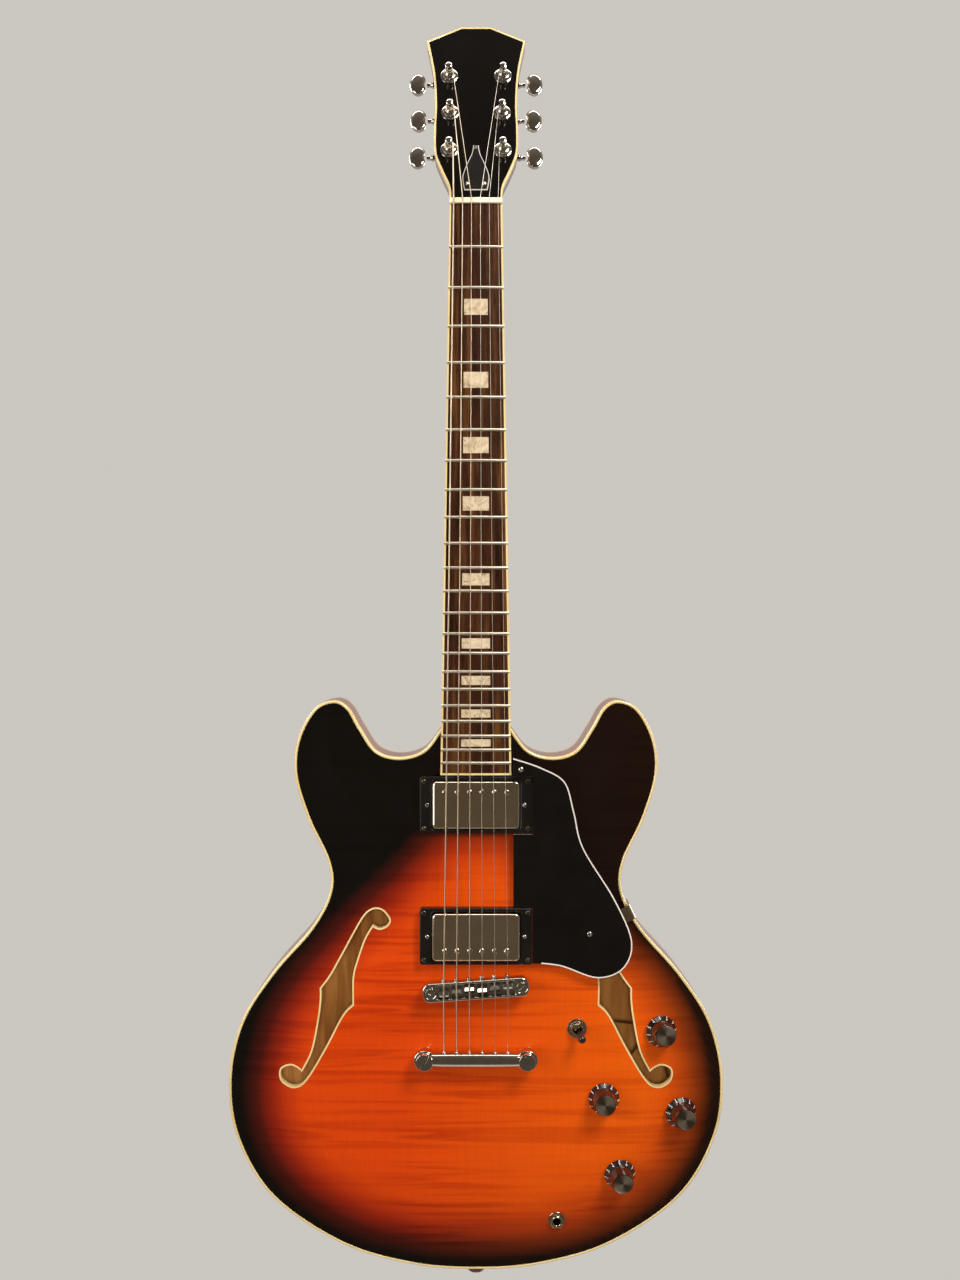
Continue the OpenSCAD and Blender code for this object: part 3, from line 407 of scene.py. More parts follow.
@dataclass(frozen=True)
class SpunCap(Finish):
    """Spun metal whose fine rings run round its own centre, from the cap_x and cap_y attributes."""

    def paint(self, graph: Graph) -> None:
        """Painted highlight: bright and dark wedges in the base colour stand in for the conic reflection
        of spun metal, with fine rings as bumps.
        """
        across = graph.add("ShaderNodeAttribute", {"attribute_name": "cap_x"}).outputs["Fac"]
        upward = graph.add("ShaderNodeAttribute", {"attribute_name": "cap_y"}).outputs["Fac"]
        reach = graph.math(
            "SQRT", graph.math("ADD", graph.math("POWER", across, 2.0), graph.math("POWER", upward, 2.0))
        )
        angle = graph.math("ARCTAN2", upward, across)
        # Painted highlight: two bright and two dark wedges round the centre, standing in for the spun
        # metal's conic reflection.
        painted_highlight_wedges = graph.math("SINE", graph.math("MULTIPLY", angle, 2.0))
        rings = graph.math("SINE", graph.math("MULTIPLY", reach, 150.0))
        tone = graph.math("ADD", graph.math("MULTIPLY", painted_highlight_wedges, 0.5), 0.5)
        graph.shade(
            Base_Color=graph.ramp(tone, (0.1, linear(126, 112, 98)), (0.9, linear(232, 224, 212))),
            Metallic=1.0,
            Roughness=0.3,
            Normal=graph.bump(rings, 0.12, 0.0001),
        )


@dataclass(frozen=True)
class WoundSteel(Finish):
    """String metal, with a fine winding along the run attribute."""

    colour: tuple[int, int, int] = (236, 222, 200)
    pitch: float = 2600.0

    def paint(self, graph: Graph) -> None:
        """Ridges every fraction of a millimetre along the string."""
        run = graph.add("ShaderNodeAttribute", {"attribute_name": "run"}).outputs["Fac"]
        ridge = graph.math("SINE", graph.math("MULTIPLY", run, self.pitch * 2 * math.pi))
        tarnish = graph.noise((1, 1, 1), 40.0, 4.0)
        r, g, b, _ = linear(*self.colour)
        graph.shade(
            Base_Color=graph.ramp(tarnish, (0.3, (r * 0.8, g * 0.77, b * 0.72, 1)), (0.7, (r, g, b, 1))),
            Metallic=1.0,
            Roughness=0.36,
            Normal=graph.bump(ridge, 0.35, 0.00008),
        )


@dataclass(frozen=True)
class Paper(Finish):
    """The studio's plain pale floor."""

    def paint(self, graph: Graph) -> None:
        """Near-white with the faintest mottling."""
        tone = graph.noise((1, 1, 1), 3.0, 3.0)
        graph.shade(
            Base_Color=graph.ramp(tone, (0.3, linear(176, 173, 168)), (0.7, linear(182, 179, 175))),
            Roughness=0.85,
        )


TOP_LACQUER = Sunburst("burst_lacquer")
BACK_LACQUER = Sunburst(
    "back_lacquer", middle=(150, 62, 24), glow=(136, 50, 20), red=(104, 30, 14), wine=(58, 16, 10),
    flame=0.7
)
SIDE_LACQUER = GlossWood("side_lacquer", dark=(92, 32, 12), light=(176, 84, 32), grain=Grain.UPRIGHT)
NECK_LACQUER = GlossWood("neck_lacquer", dark=(60, 18, 9), light=(116, 44, 18))
BARE_MAPLE = GlossWood(
    "bare_maple", dark=(122, 88, 54), light=(196, 160, 112), coat=0.0, roughness=(0.6, 0.8)
)
INSIDE_MAPLE = GlossWood(
    "inside_maple", dark=(176, 106, 50), light=(238, 170, 92), coat=0.0, roughness=(0.6, 0.8)
)
BINDING = Plastic("cream_binding", (226, 200, 138), (238, 216, 160), (0.2, 0.3), 0.8, 0.02)
BONE = Plastic("bone_nut", (232, 220, 192), (246, 238, 218), (0.3, 0.42), 0.2, 0.05, 90.0)
HEAD_BLACK = Plastic("head_black", (7, 6, 6), (11, 9, 9), (0.12, 0.2), 1.0, 0.01, shine=0.05)
GUARD_BLACK = Plastic("guard_black", (12, 10, 8), (16, 13, 11), (0.3, 0.42), 0.0, 0.02, shine=0.25)
GUARD_WHITE = Plastic("guard_white", (222, 216, 214), (236, 232, 230), (0.25, 0.35))
COVER_BLACK = Plastic("cover_black", (16, 15, 15), (22, 21, 20), (0.25, 0.35), 0.2, 0.02, shine=0.3)
RING_BLACK = Plastic("ring_black", (15, 14, 14), (22, 20, 19), (0.2, 0.32), 0.1, 0.06)
KNOB_BLACK = Plastic("knob_black", (22, 13, 12), (34, 20, 18), (0.12, 0.2), 0.7, 0.01)
KNOB_WHITE = Plastic("knob_white", (226, 224, 222), (240, 238, 236), (0.3, 0.4))
TIP_BLACK = Plastic("tip_black", (24, 19, 17), (34, 27, 24), (0.16, 0.26), 0.4, 0.02)
COIL_BLACK = Plastic("coil_black", (26, 24, 23), (34, 32, 30), (0.4, 0.55))
CHROME = Plating("chrome")
COVER_METAL = Plating("cover_metal", (240, 228, 206), (0.06, 0.16), (1, 1, 1), 0.03, 90.0)
NICKEL = Plating("nickel", (206, 192, 170), (0.14, 0.26), (1, 1, 1), 0.04)
DARK_STEEL = Plating("dark_steel", (112, 102, 92), (0.22, 0.34))
WIRE_BROWN = Plastic("wire_brown", (84, 56, 34), (98, 66, 40), (0.5, 0.65))
STEEL = Plating("steel", (168, 166, 162), (0.28, 0.42), (1, 1, 0.1), 0.1)
FRET_METAL = Plating("fret_metal", (246, 240, 226), (0.34, 0.42), (0.1, 1, 1), 0.03)
PEARL = Pearl("pearl")
ROSEWOOD = Rosewood("rosewood")
SPUN = SpunCap("spun_cap")
WOUND = WoundSteel("wound_string")
PLAIN = WoundSteel("plain_string", (236, 232, 222), 1.0)
FLOOR = Paper("studio_floor")


# ---------------------------------------------------------------- shapes


def spline(knots: Flat, steps: int) -> np.ndarray:
    """A smooth curve through knots.

    Args:
        knots: The points it passes through.
        steps: Points on each span.

    Returns:
        The curve's points, the last knot included.
    """
    k = np.asarray(knots, float)
    m = len(k) - 1
    points = []
    for i in range(m):
        a, b, c, d = k[max(i - 1, 0)], k[i], k[i + 1], k[min(i + 2, m)]
        for j in range(steps):
            t = j / steps
            points.append(
                0.5
                * (
                    2 * b + (c - a) * t + (
                        2 * a - 5 * b + 4 * c - d
                    ) * t**2 + (3 * b - a - 3 * c + d) * t**3
                )
            )
    points.append(k[m])
    return np.array(points)


def mirrored(points: np.ndarray) -> np.ndarray:
    """The points on the other side of the centre line, in reverse order."""
    return (points * (-1, 1))[::-1]


def inset(line: np.ndarray, distance: float) -> np.ndarray:
    """A closed clockwise line moved inwards.

    Args:
        line: The line, clockwise seen from the front.
        distance: How far; negative moves it outwards.

    Returns:
        The moved line, with as many points.
    """
    before = line - np.roll(line, 1, 0)
    after = np.roll(line, -1, 0) - line
    before /= np.linalg.norm(before, axis=1)[:, None]
    after /= np.linalg.norm(after, axis=1)[:, None]
    middle = np.stack([before[:, 1] + after[:, 1], -before[:, 0] - after[:, 0]], 1)
    middle /= np.linalg.norm(middle, axis=1)[:, None]
    normal = np.stack([before[:, 1], -before[:, 0]], 1)
    reach = np.maximum(0.5, (middle * normal).sum(1))
    return line + middle * (distance / reach)[:, None]


def edge_distance(points: np.ndarray, line: np.ndarray) -> np.ndarray:
    """Distance from points to a closed line, negative outside it.

    Args:
        points: The points, one a row.
        line: The closed line.

    Returns:
        One distance a point.
    """
    a, b = line, np.roll(line, -1, 0)
    ab = b - a
    best = np.full(len(points), np.inf)
    inside = np.zeros(len(points), bool)
    length = np.maximum((ab * ab).sum(1), 1e-12)
    for start in range(0, len(points), 2000):
        p = points[start : start + 2000, None, :]
        t = np.clip(((p - a) * ab).sum(2) / length, 0, 1)
        best[start : start + 2000] = np.sqrt((((p - a) - t[..., None] * ab) ** 2).sum(2)).min(1)
        rising = (a[:, 1] > p[..., 1]) != (b[:, 1] > p[..., 1])
        slope = np.where(np.abs(ab[:, 1]) < 1e-12, 1e-12, ab[:, 1])
        cross = p[..., 0] < ab[:, 0] * (p[..., 1] - a[:, 1]) / slope + a[:, 0]
        inside[start : start + 2000] = (rising & cross).sum(1) % 2 == 1
    return np.where(inside, best, -best)


def clockwise(line: np.ndarray) -> np.ndarray:
    """The closed line, turned round if it ran the other way."""
    ahead = np.roll(line, -1, 0)
    area = np.sum(line[:, 0] * ahead[:, 1] - ahead[:, 0] * line[:, 1])
    return line if area < 0 else line[::-1]


def at_depth(line: np.ndarray, depth: float | np.ndarray) -> np.ndarray:
    """A flat line's points in space, at one depth or at one for each."""
    return np.stack([line[:, 0], np.broadcast_to(depth, len(line)), line[:, 1]], 1)


def circle(x: float, z: float, radius: float, count: int = 32) -> np.ndarray:
    """A circle of points, clockwise seen from the front."""
    angles = -np.linspace(0, 2 * math.pi, count, endpoint=False)
    return np.stack([x + radius * np.cos(angles), z + radius * np.sin(angles)], 1)


def rounded_box(width: float, height: float, radius: float, steps: int = 6) -> np.ndarray:
    """A rounded rectangle about the origin, clockwise seen from the front."""
    points = []
    for sx, sz, start in ((1, 1, 90), (1, -1, 0), (-1, -1, -90), (-1, 1, -180)):
        for k in range(steps + 1):
            angle = math.radians(start - 90 * k / steps)
            points.append(
                (
                    sx * (width / 2 - radius) + radius * math.cos(angle),
                    sz * (height / 2 - radius) + radius * math.sin(angle),
                )
            )
    return np.array(points)


def milled_rim(radius: float, groove: float, count: int) -> np.ndarray:
    """A round rim with every second point set in, as milling leaves it."""
    points = []
    for k in range(count):
        reach = radius - (groove if k % 2 else 0.0)
        angle = 2 * math.pi * k / count
        points.append((reach * math.cos(angle), reach * math.sin(angle)))
    return np.array(points)


class Shape:
    """A mesh being made, in millimetres."""

    def __init__(self) -> None:
        """Starts with nothing."""
        self.points: list[np.ndarray] = []
        self.faces: list[tuple[int, ...]] = []
        self.slots: list[int] = []
        self.count = 0

    def add(
        self, points: Any, faces: Iterable[Sequence[int]], place: Matrix | None = None, slot: int = 0
    ) -> int:
        """Adds points and faces.

        Args:
            points: The points.
            faces: Faces as indices into the points.
            place: Where they go, or None for no change.
            slot: The material slot.

        Returns:
            The index of the first point added.
        """
        p = np.asarray(points, float).reshape(-1, 3)
        if place is not None:
            m = np.array(place, float)
            p = p @ m[:3, :3].T + m[:3, 3]
            if np.linalg.det(m[:3, :3]) < 0:
                faces = [tuple(reversed(f)) for f in faces]
        first = self.count
        self.points.append(p)
        self.count += len(p)
        for f in faces:
            self.faces.append(tuple(i + first for i in f))
            self.slots.append(slot)
        return first

    def revolve(self, profile: Flat, place: Matrix | None = None, sides: int = 48, slot: int = 0) -> None:
        """Turns a profile round the local Z axis.

        Args:
            profile: Radius and height pairs from the bottom up, counter-clockwise for outward faces.
            place: Where it goes.
            sides: How many sides.
            slot: The material slot.
        """
        points: list[tuple[float, float, float]] = []
        rows: list[list[int]] = []
        for radius, height in profile:
            if radius < 1e-6:
                rows.append([len(points)] * sides)
                points.append((0.0, 0.0, height))
                continue
            rows.append(list(range(len(points), len(points) + sides)))
            for k in range(sides):
                angle = 2 * math.pi * k / sides
                points.append((radius * math.cos(angle), radius * math.sin(angle), height))
        faces = []
        for low, high in zip(rows, rows[1:]):
            for k in range(sides):
                n = (k + 1) % sides
                quad = [low[k], low[n], high[n], high[k]]
                face = [v for i, v in enumerate(quad) if v != quad[i - 1]]
                if len(face) > 2:
                    faces.append(face)
        self.add(points, faces, place, slot)

    def skin(
        self, rows: Sequence[np.ndarray], closed: bool = True, capped: bool = True,
        place: Matrix | None = None, slot: int = 0,
    ) -> None:
        """Joins rows of points, such as a loft's sections.

        Args:
            rows: Sections with the same number of points.
            closed: Whether each section is a loop.
            capped: Whether the first and last sections are filled.
            place: Where it goes.
            slot: The material slot.
        """
        n = len(rows[0])
        faces: list[Sequence[int]] = []
        for r in range(len(rows) - 1):
            for k in range(n if closed else n - 1):
                m = (k + 1) % n
                faces.append((r * n + k, r * n + m, (r + 1) * n + m, (r + 1) * n + k))
        if capped:
            faces.append(tuple(reversed(range(n))))
            faces.append(tuple((len(rows) - 1) * n + k for k in range(n)))
        self.add(np.concatenate(rows), faces, place, slot)

    def slab(
        self,
        outline: np.ndarray,
        front: float | Callable[[np.ndarray], np.ndarray],
        back: float | Callable[[np.ndarray], np.ndarray],
        holes: Sequence[np.ndarray] = (),
        soft: float = 0.0,
        soft_back: float = 0.0,
        inner: np.ndarray | None = None,
        place: Matrix | None = None,
        slot: int = 0,
        steps: int = 3,
    ) -> None:
        """A sheet between a front and a back, with rounded edges.

        Args:
            outline: Its outline, clockwise seen from the front.
            front: The front's depth, or a function of the points.
            back: The back's depth, or a function of the points.
            holes: Loops cut out, clockwise too.
            soft: The radius of the front edges.
            soft_back: The radius of the back edges.
            inner: Points inside, for a curved sheet.
            place: Where it goes.
            slot: The material slot.
            steps: Steps in each rounded edge.
        """

        def depth(surface: float | Callable[[np.ndarray], np.ndarray], p: np.ndarray) -> np.ndarray:
            return np.full(len(p), float(surface)) if not callable(surface) else surface(p)

        loops = [outline, *holes]
        signs = [1.0] + [-1.0] * len(holes)
        rows: list[tuple[list[np.ndarray], Any, float]] = []

        def edge(k: int, radius: float, surface: Any, sense: float) -> None:
            angle = math.pi / 2 * k / steps if radius > 0 else math.pi / 2
            shift = radius * (1 - math.sin(angle))
            lines = [inset(l, s * shift) if shift > 1e-9 else l for l, s in zip(loops, signs)]
            rows.append((lines, surface, sense * radius * (1 - math.cos(angle))))

        for k in range(steps + 1 if soft > 0 else 1):
            edge(k, soft, front, 1.0)
        for k in range(steps, -1, -1) if soft_back > 0 else [0]:
            edge(k, soft_back, back, -1.0)
        points: list[np.ndarray] = []
        starts: list[list[int]] = []
        total = 0
        for lines, surface, offset in rows:
            marks = []
            for line in lines:
                marks.append(total)
                points.append(at_depth(line, depth(surface, line) + offset))
                total += len(line)
            starts.append(marks)
        faces: list[Sequence[int]] = []
        for r in range(len(rows) - 1):
            for which, line in enumerate(rows[r][0]):
                n = len(line)
                a, b = starts[r][which], starts[r + 1][which]
                for k in range(n):
                    m = (k + 1) % n
                    quad = (a + k, b + k, b + m, a + m)
                    faces.append(quad if which == 0 else tuple(reversed(quad)))
        for r, surface, turn in ((0, front, False), (len(rows) - 1, back, True)):
            lines = rows[r][0]
            flat = np.concatenate(lines + ([inner] if inner is not None else []))
            triangles = fill(flat, [len(l) for l in lines])
            index = np.concatenate([np.arange(len(l)) + starts[r][w] for w, l in enumerate(lines)])
            if inner is not None:
                points.append(at_depth(inner, depth(surface, inner)))
                index = np.concatenate([index, np.arange(len(inner)) + total])
                total += len(inner)
            for t in triangles:
                face = tuple(int(index[i]) for i in t)
                faces.append(tuple(reversed(face)) if turn else face)
        self.add(np.concatenate(points), faces, place, slot)

    def bar(self, size: Sequence[float], soft: float, place: Matrix | None = None, slot: int = 0) -> None:
        """A box about the origin with rounded edges."""
        w, d, h = size
        self.slab(rounded_box(w, h, max(soft, 0.01), 3), -d / 2, d / 2, (), soft, soft, None, place, slot)

    def build(self, name: str, finishes: Sequence[Finish], sharp: float = 34.0) -> bpy.types.Object:
        """Makes the object.

        Args:
            name: The object's name.
            finishes: A finish for each slot.
            sharp: The angle, in degrees, past which an edge stays sharp.

        Returns:
            The object, in metres.
        """
        mesh = bpy.data.meshes.new(name)
        mesh.from_pydata((np.concatenate(self.points) * MM).tolist(), [], self.faces)
        for finish in finishes:
            mesh.materials.append(finish.make())
        mesh.polygons.foreach_set("material_index", np.array(self.slots, np.int32))
        mesh.validate()
        smooth(mesh, sharp)
        thing = bpy.data.objects.new(name, mesh)
        bpy.context.scene.collection.objects.link(thing)
        return thing


def smooth(mesh: bpy.types.Mesh, sharp: float) -> None:
    """Shades a mesh smooth, with edges past an angle kept sharp."""
    mesh.polygons.foreach_set("use_smooth", [True] * len(mesh.polygons))
    mesh.set_sharp_from_angle(angle=math.radians(sharp))
    mesh.update()


def face_outwards(piece: bpy.types.Object) -> None:
    """Merges doubles and turns every face outwards."""
    cleaner = bmesh.new()
    cleaner.from_mesh(piece.data)
    bmesh.ops.remove_doubles(cleaner, verts=cleaner.verts, dist=1e-7)
    bmesh.ops.recalc_face_normals(cleaner, faces=cleaner.faces)
    cleaner.to_mesh(piece.data)
    cleaner.free()


def fill(points: np.ndarray, sizes: Sequence[int]) -> list[tuple[int, int, int]]:
    """Triangles inside the first loop and outside the others, facing the front.

    Args:
        points: Loops' points in order, then any loose points.
        sizes: How many points each loop has.

    Returns:
        The triangles as indices of the points.
    """
    edges = []
    start = 0
    for size in sizes:
        edges += [(start + k, start + (k + 1) % size) for k in range(size)]
        start += size
    found = delaunay_2d_cdt([Vector(p) for p in points.tolist()], edges, [], 0, 1e-6)
    source = [group[0] if group else -1 for group in found[3]]
    triangles = [tuple(source[i] for i in face) for face in found[2]]
    triangles = [t for t in triangles if -1 not in t]
    centres = np.array([points[list(t)].mean(0) for t in triangles])
    keep = np.ones(len(centres), bool)
    start = 0
    for number, size in enumerate(sizes):
        inside = edge_distance(centres, points[start : start + size]) > 0
        keep &= inside if number == 0 else ~inside
        start += size
    kept = []
    for t, ok in zip(triangles, keep):
        if ok:
            a, b, c = (points[i] for i in t)
            area = (b[0] - a[0]) * (c[1] - a[1]) - (b[1] - a[1]) * (c[0] - a[0])
            if abs(area) > 1e-9:
                kept.append(t if area > 0 else (t[0], t[2], t[1]))
    return kept


def line_inside(thing: bpy.types.Object, finish: Finish, facing: float) -> None:
    """Gives the faces that look into the body their own bare finish.

    Args:
        thing: A plate of the body.
        finish: The finish of its inner face.
        facing: 1 where the inner face looks to the back, -1 where it looks to the front.
    """
    thing.data.materials.append(finish.make())
    for face in thing.data.polygons:
        if face.normal.y * facing > 0.6:
            face.material_index = 1


def paint_values(thing: bpy.types.Object, name: str, values: Sequence[float]) -> None:
    """Stores one number a point on a mesh."""
    mark = thing.data.attributes.new(name, "FLOAT", "POINT")
    mark.data.foreach_set("value", np.asarray(values, np.float32))


def turn(axis: str, degrees: float) -> Matrix:
    """A turn about an axis of the frame."""
    return Matrix.Rotation(math.radians(degrees), 4, axis)


def move(x: float, y: float, z: float) -> Matrix:
    """A shift, in millimetres."""
    return Matrix.Translation((x, y, z))


OUTWARD = turn("X", 90)
INWARD = turn("X", -90)


# ---------------------------------------------------------------- layout


@dataclass(frozen=True)
class Layout:
    """The sizes that the whole guitar shares, in millimetres."""

    scale_length: float = 628.6
    frets: int = 22
    neck_angle: float = 3.0
    head_angle: float = 14.0
    nut_width: float = 43.0
    board_end: float = 57.0
    board_length: float = 462.0
    board_depth: float = 6.0
    board_radius: float = 305.0
    rim_front: float = -19.0
    rim_back: float = 23.0
    plate: float = 5.0
    arch_height: float = 8.0
    arch_width: float = 75.0
    flat: float = -27.0
    bridge_z: float = -631.0
    bridge_slant: float = 4.0
    string_spread: float = 25.5
    nut_spread: float = 18.0
    nut_top: float = 7.8
    gauges: tuple[float, ...] = (0.58, 0.46, 0.33, 0.22, 0.17, 0.13)
    shifts: tuple[float, ...] = (-1.8, -0.6, 0.6, -1.0, 0.3, 1.4)
    pickup_zs: tuple[float, float] = (-485.0, -590.0)
    ring_heights: tuple[float, float] = (3.2, 7.0)
    cover_tops: tuple[float, float] = (5.0, 10.8)
    pole_sides: tuple[int, int] = (1, -1)
    pole_offset: float = 10.5
    pole_spread: float = 24.8
    tuner_xs: tuple[float, ...] = (22.0, 21.5, 22.5)
    tuner_zs: tuple[float, ...] = (46.0, 82.0, 118.0)

    @property
    def neck(self) -> Matrix:
        """The leaning frame of the neck."""
        return turn("X", -self.neck_angle)

    @property
    def head(self) -> Matrix:
        """The leaning frame of the headstock."""
        return self.neck @ move(0, 0, 5) @ turn("X", -self.head_angle)

    @property
    def bridge(self) -> Matrix:
        """The slanted frame of the bridge."""
        return move(0, 0, self.bridge_z) @ turn("Y", -self.bridge_slant)

    def tuner(self, number: int) -> Matrix:
        """The frame of a tuner, 1 to 3 up the bass side and 4 to 6 down the treble side."""
        side = Side.BASS if number <= 3 else Side.TREBLE
        row = number - 1 if number <= 3 else 6 - number
        flip = Matrix.Scale(-1, 4, (1, 0, 0)) if side is Side.BASS else Matrix.Identity(4)
        return self.head @ move(side.value * self.tuner_xs[row], 0, self.tuner_zs[row]) @ flip

    def board_half(self, z: float) -> float:
        """Half of the fingerboard's width at a height."""
        return (self.nut_width + (self.board_end - self.nut_width) * -z / self.board_length) / 2

    def crown(self, x: float) -> float:
        """How far the fingerboard's face falls back away from its middle."""
        return self.board_radius - math.sqrt(self.board_radius**2 - x * x)

    def across(self, number: int) -> float:
        """A string's share across the neck, from -1 to 1."""
        return (number - 3.5) / 2.5

    def pole_x(self, number: int) -> float:
        """A pole's place across its pickup."""
        return self.across(number) * self.pole_spread

    def string_x(self, number: int) -> float:
        """A string's place across the bridge."""
        return self.across(number) * self.string_spread

    def bridge_y(self, number: int) -> float:
        """A string's depth at its saddle."""
        lean = math.radians(self.neck_angle)
        return -(
            self.scale_length * math.sin(lean) + 11 * math.cos(lean)
        ) + self.crown(self.string_x(number))


LAYOUT = Layout()


@dataclass(frozen=True)
class BodyPlan:
    """The body's outline and arch."""

    knots: tuple[tuple[float, float], ...] = (
        (28, -424), (42, -442), (61, -448), (80, -443), (93, -425), (103, -408), (115, -402), (131, -409),
        (144, -433), (146.5, -462), (136, -498), (120, -533), (119, -558), (134, -587), (166, -624),
        (191, -664),
        (201, -711), (194, -760), (165, -808), (109, -846), (52, -863), (0, -867), (-52, -863),
    )
    burst_knots: tuple[tuple[float, float], ...] = (
        (0, -496), (26, -499), (46, -512), (80, -546), (106, -572), (126, -594), (148, -619), (169, -652),
        (181, -690), (184, -728), (174, -768), (147, -806), (101, -835), (50, -849), (0, -852),
    )
    f_hole: tuple[tuple[float, float], ...] = (
        (70, -578), (76, -571), (84, -571), (92, -579), (107.5, -607), (117, -624), (125, -635),
        (125, -645),
        (127, -661), (132, -685), (140.5, -702), (144, -699), (150, -697), (157, -700), (158, -706),
        (155, -711),
        (147, -714), (137.5, -708), (122, -682.5), (108, -656), (99.5, -647), (99.5, -625), (95.5, -609.5),
        (90, -594), (83.5, -583), (78, -585.5), (72, -583),
    )
    corners: tuple[int, ...] = (6, 10, 20, 24)

    def outline(self, steps: int = 8) -> np.ndarray:
        """The closed outline, clockwise from the treble side of the neck."""
        half = spline(self.knots, steps)[: (len(self.knots) - 2) * steps + 1]
        line = np.concatenate([half, mirrored(half[:-1])])
        line[:, 0] = np.clip(line[:, 0], -201, 201)
        return line

    def burst_line(self) -> np.ndarray:
        """The closed line where the shading is halfway to black."""
        half = spline(self.burst_knots, 6)
        return np.concatenate([half, mirrored(half)[1:-1]])

    def f_line(self, steps: int = 5) -> np.ndarray:
        """The treble f-hole's outline: smooth but for its four corners."""
        count = len(self.f_hole)
        order = [(self.corners[0] + k) % count for k in range(count + 1)]
        runs: list[list[int]] = [[order[0]]]
        for index in order[1:]:
            runs[-1].append(index)
            if index in self.corners:
                runs.append([index])
        points = [spline([self.f_hole[i] for i in run], steps)[:-1] for run in runs if len(run) > 1]
        return np.concatenate(points)

    def rise(self, points: np.ndarray) -> np.ndarray:
        """How far the arch stands over the rim."""
        t = np.clip(edge_distance(points, self.outline(3)) / LAYOUT.arch_width, 0, 1)
        return LAYOUT.arch_height * t * t * (3 - 2 * t)

    def front(self, points: np.ndarray) -> np.ndarray:
        """The depth of the face."""
        return LAYOUT.rim_front - self.rise(points)

    def back(self, points: np.ndarray) -> np.ndarray:
        """The depth of the back."""
        return LAYOUT.rim_back + self.rise(points)

    def on_top(self, x: float, z: float) -> Matrix:
        """A frame on the face, with Z outwards and X to the treble side."""
        h = 2.0
        around = self.rise(np.array([(x + h, z), (x - h, z), (x, z + h), (x, z - h), (x, z)]))
        out = Vector(
            (-(around[0] - around[1]) / (2 * h), -1, -(around[2] - around[3]) / (2 * h))
        ).normalized()
        right = Vector((0, 0, 1)).cross(out).normalized()
        up = out.cross(right)
        frame_matrix = Matrix((right, up, out)).transposed().to_4x4()
        frame_matrix.translation = (x, LAYOUT.rim_front - around[4], z)
        return frame_matrix


BODY = BodyPlan()


# ---------------------------------------------------------------- geometry nodes


class Tree:
    """A Geometry Nodes tree with named inputs."""

    def __init__(self, name: str) -> None:
        """Starts a tree that takes and gives geometry.

        Args:
            name: The tree's name.
        """
        self.tree = bpy.data.node_groups.new(name, "GeometryNodeTree")
        self.keys: dict[str, str] = {}
        for way in ("INPUT", "OUTPUT"):
            self.tree.interface.new_socket("Geometry", in_out=way, socket_type="NodeSocketGeometry")
        self.start = self.tree.nodes.new("NodeGroupInput")
        self.end = self.tree.nodes.new("NodeGroupOutput")

    def input(self, name: str, kind: str = "NodeSocketFloat") -> bpy.types.NodeSocket:
        """Adds a named input and returns its socket."""
        self.keys[name] = self.tree.interface.new_socket(name, in_out="INPUT", socket_type=kind).identifier
        return self.start.outputs[name]

    def add(self, kind: str, settings: dict[str, Any] | None = None, **sockets: Any) -> bpy.types.Node:
        """Adds a node, with inputs by name or by s and their number.

        Args:
            kind: The node's type.
            settings: Properties to set.
            **sockets: Inputs; an output socket is linked in.

        Returns:
            The node.
        """
        node = self.tree.nodes.new(kind)
        for key, value in (settings or {}).items():
            setattr(node, key, value)
        for key, value in sockets.items():
            target = node.inputs[int(key[1:])] if key[1:].isdigit() else node.inputs[key.replace("_", " ")]
            if isinstance(value, bpy.types.NodeSocket):
                self.tree.links.new(value, target)
            else:
                target.default_value = value
        return node

    def math(self, operation: str, a: Any, b: Any = 0.0) -> bpy.types.NodeSocket:
        """Adds a sum and returns its output."""
        return self.add("ShaderNodeMath", {"operation": operation}, s0=a, s1=b).outputs[0]

    def finish(self, geometry: bpy.types.NodeSocket, material: bpy.types.NodeSocket) -> None:
        """Ends the tree with real geometry in one material."""
        real = self.add("GeometryNodeRealizeInstances", None, Geometry=geometry)
        dressed = self.add("GeometryNodeSetMaterial", None, Geometry=real.outputs[0], Material=material)
        self.tree.links.new(dressed.outputs[0], self.end.inputs[0])

    def run(
        self, name: str, base: bpy.types.Mesh, values: dict[str, Any], sharp: float = 34.0
    ) -> bpy.types.Object:
        """Runs the tree on a mesh and keeps the result as a plain mesh.

        Args:
            name: The new object's name.
            base: The mesh it starts from.
            values: The named inputs.
            sharp: The angle past which an edge stays sharp.

        Returns:
            The finished object.
        """
        thing = bpy.data.objects.new(name, base)
        bpy.context.scene.collection.objects.link(thing)
        nodes = thing.modifiers.new("build", "NODES")
        nodes.node_group = self.tree
        for key, value in values.items():
            nodes[self.keys[key]] = value
        bpy.context.view_layer.update()
        graph = bpy.context.evaluated_depsgraph_get()
        made = bpy.data.meshes.new_from_object(thing.evaluated_get(graph))
        thing.modifiers.clear()
        thing.data = made
        made.name = name
        smooth(made, sharp)
        return thing


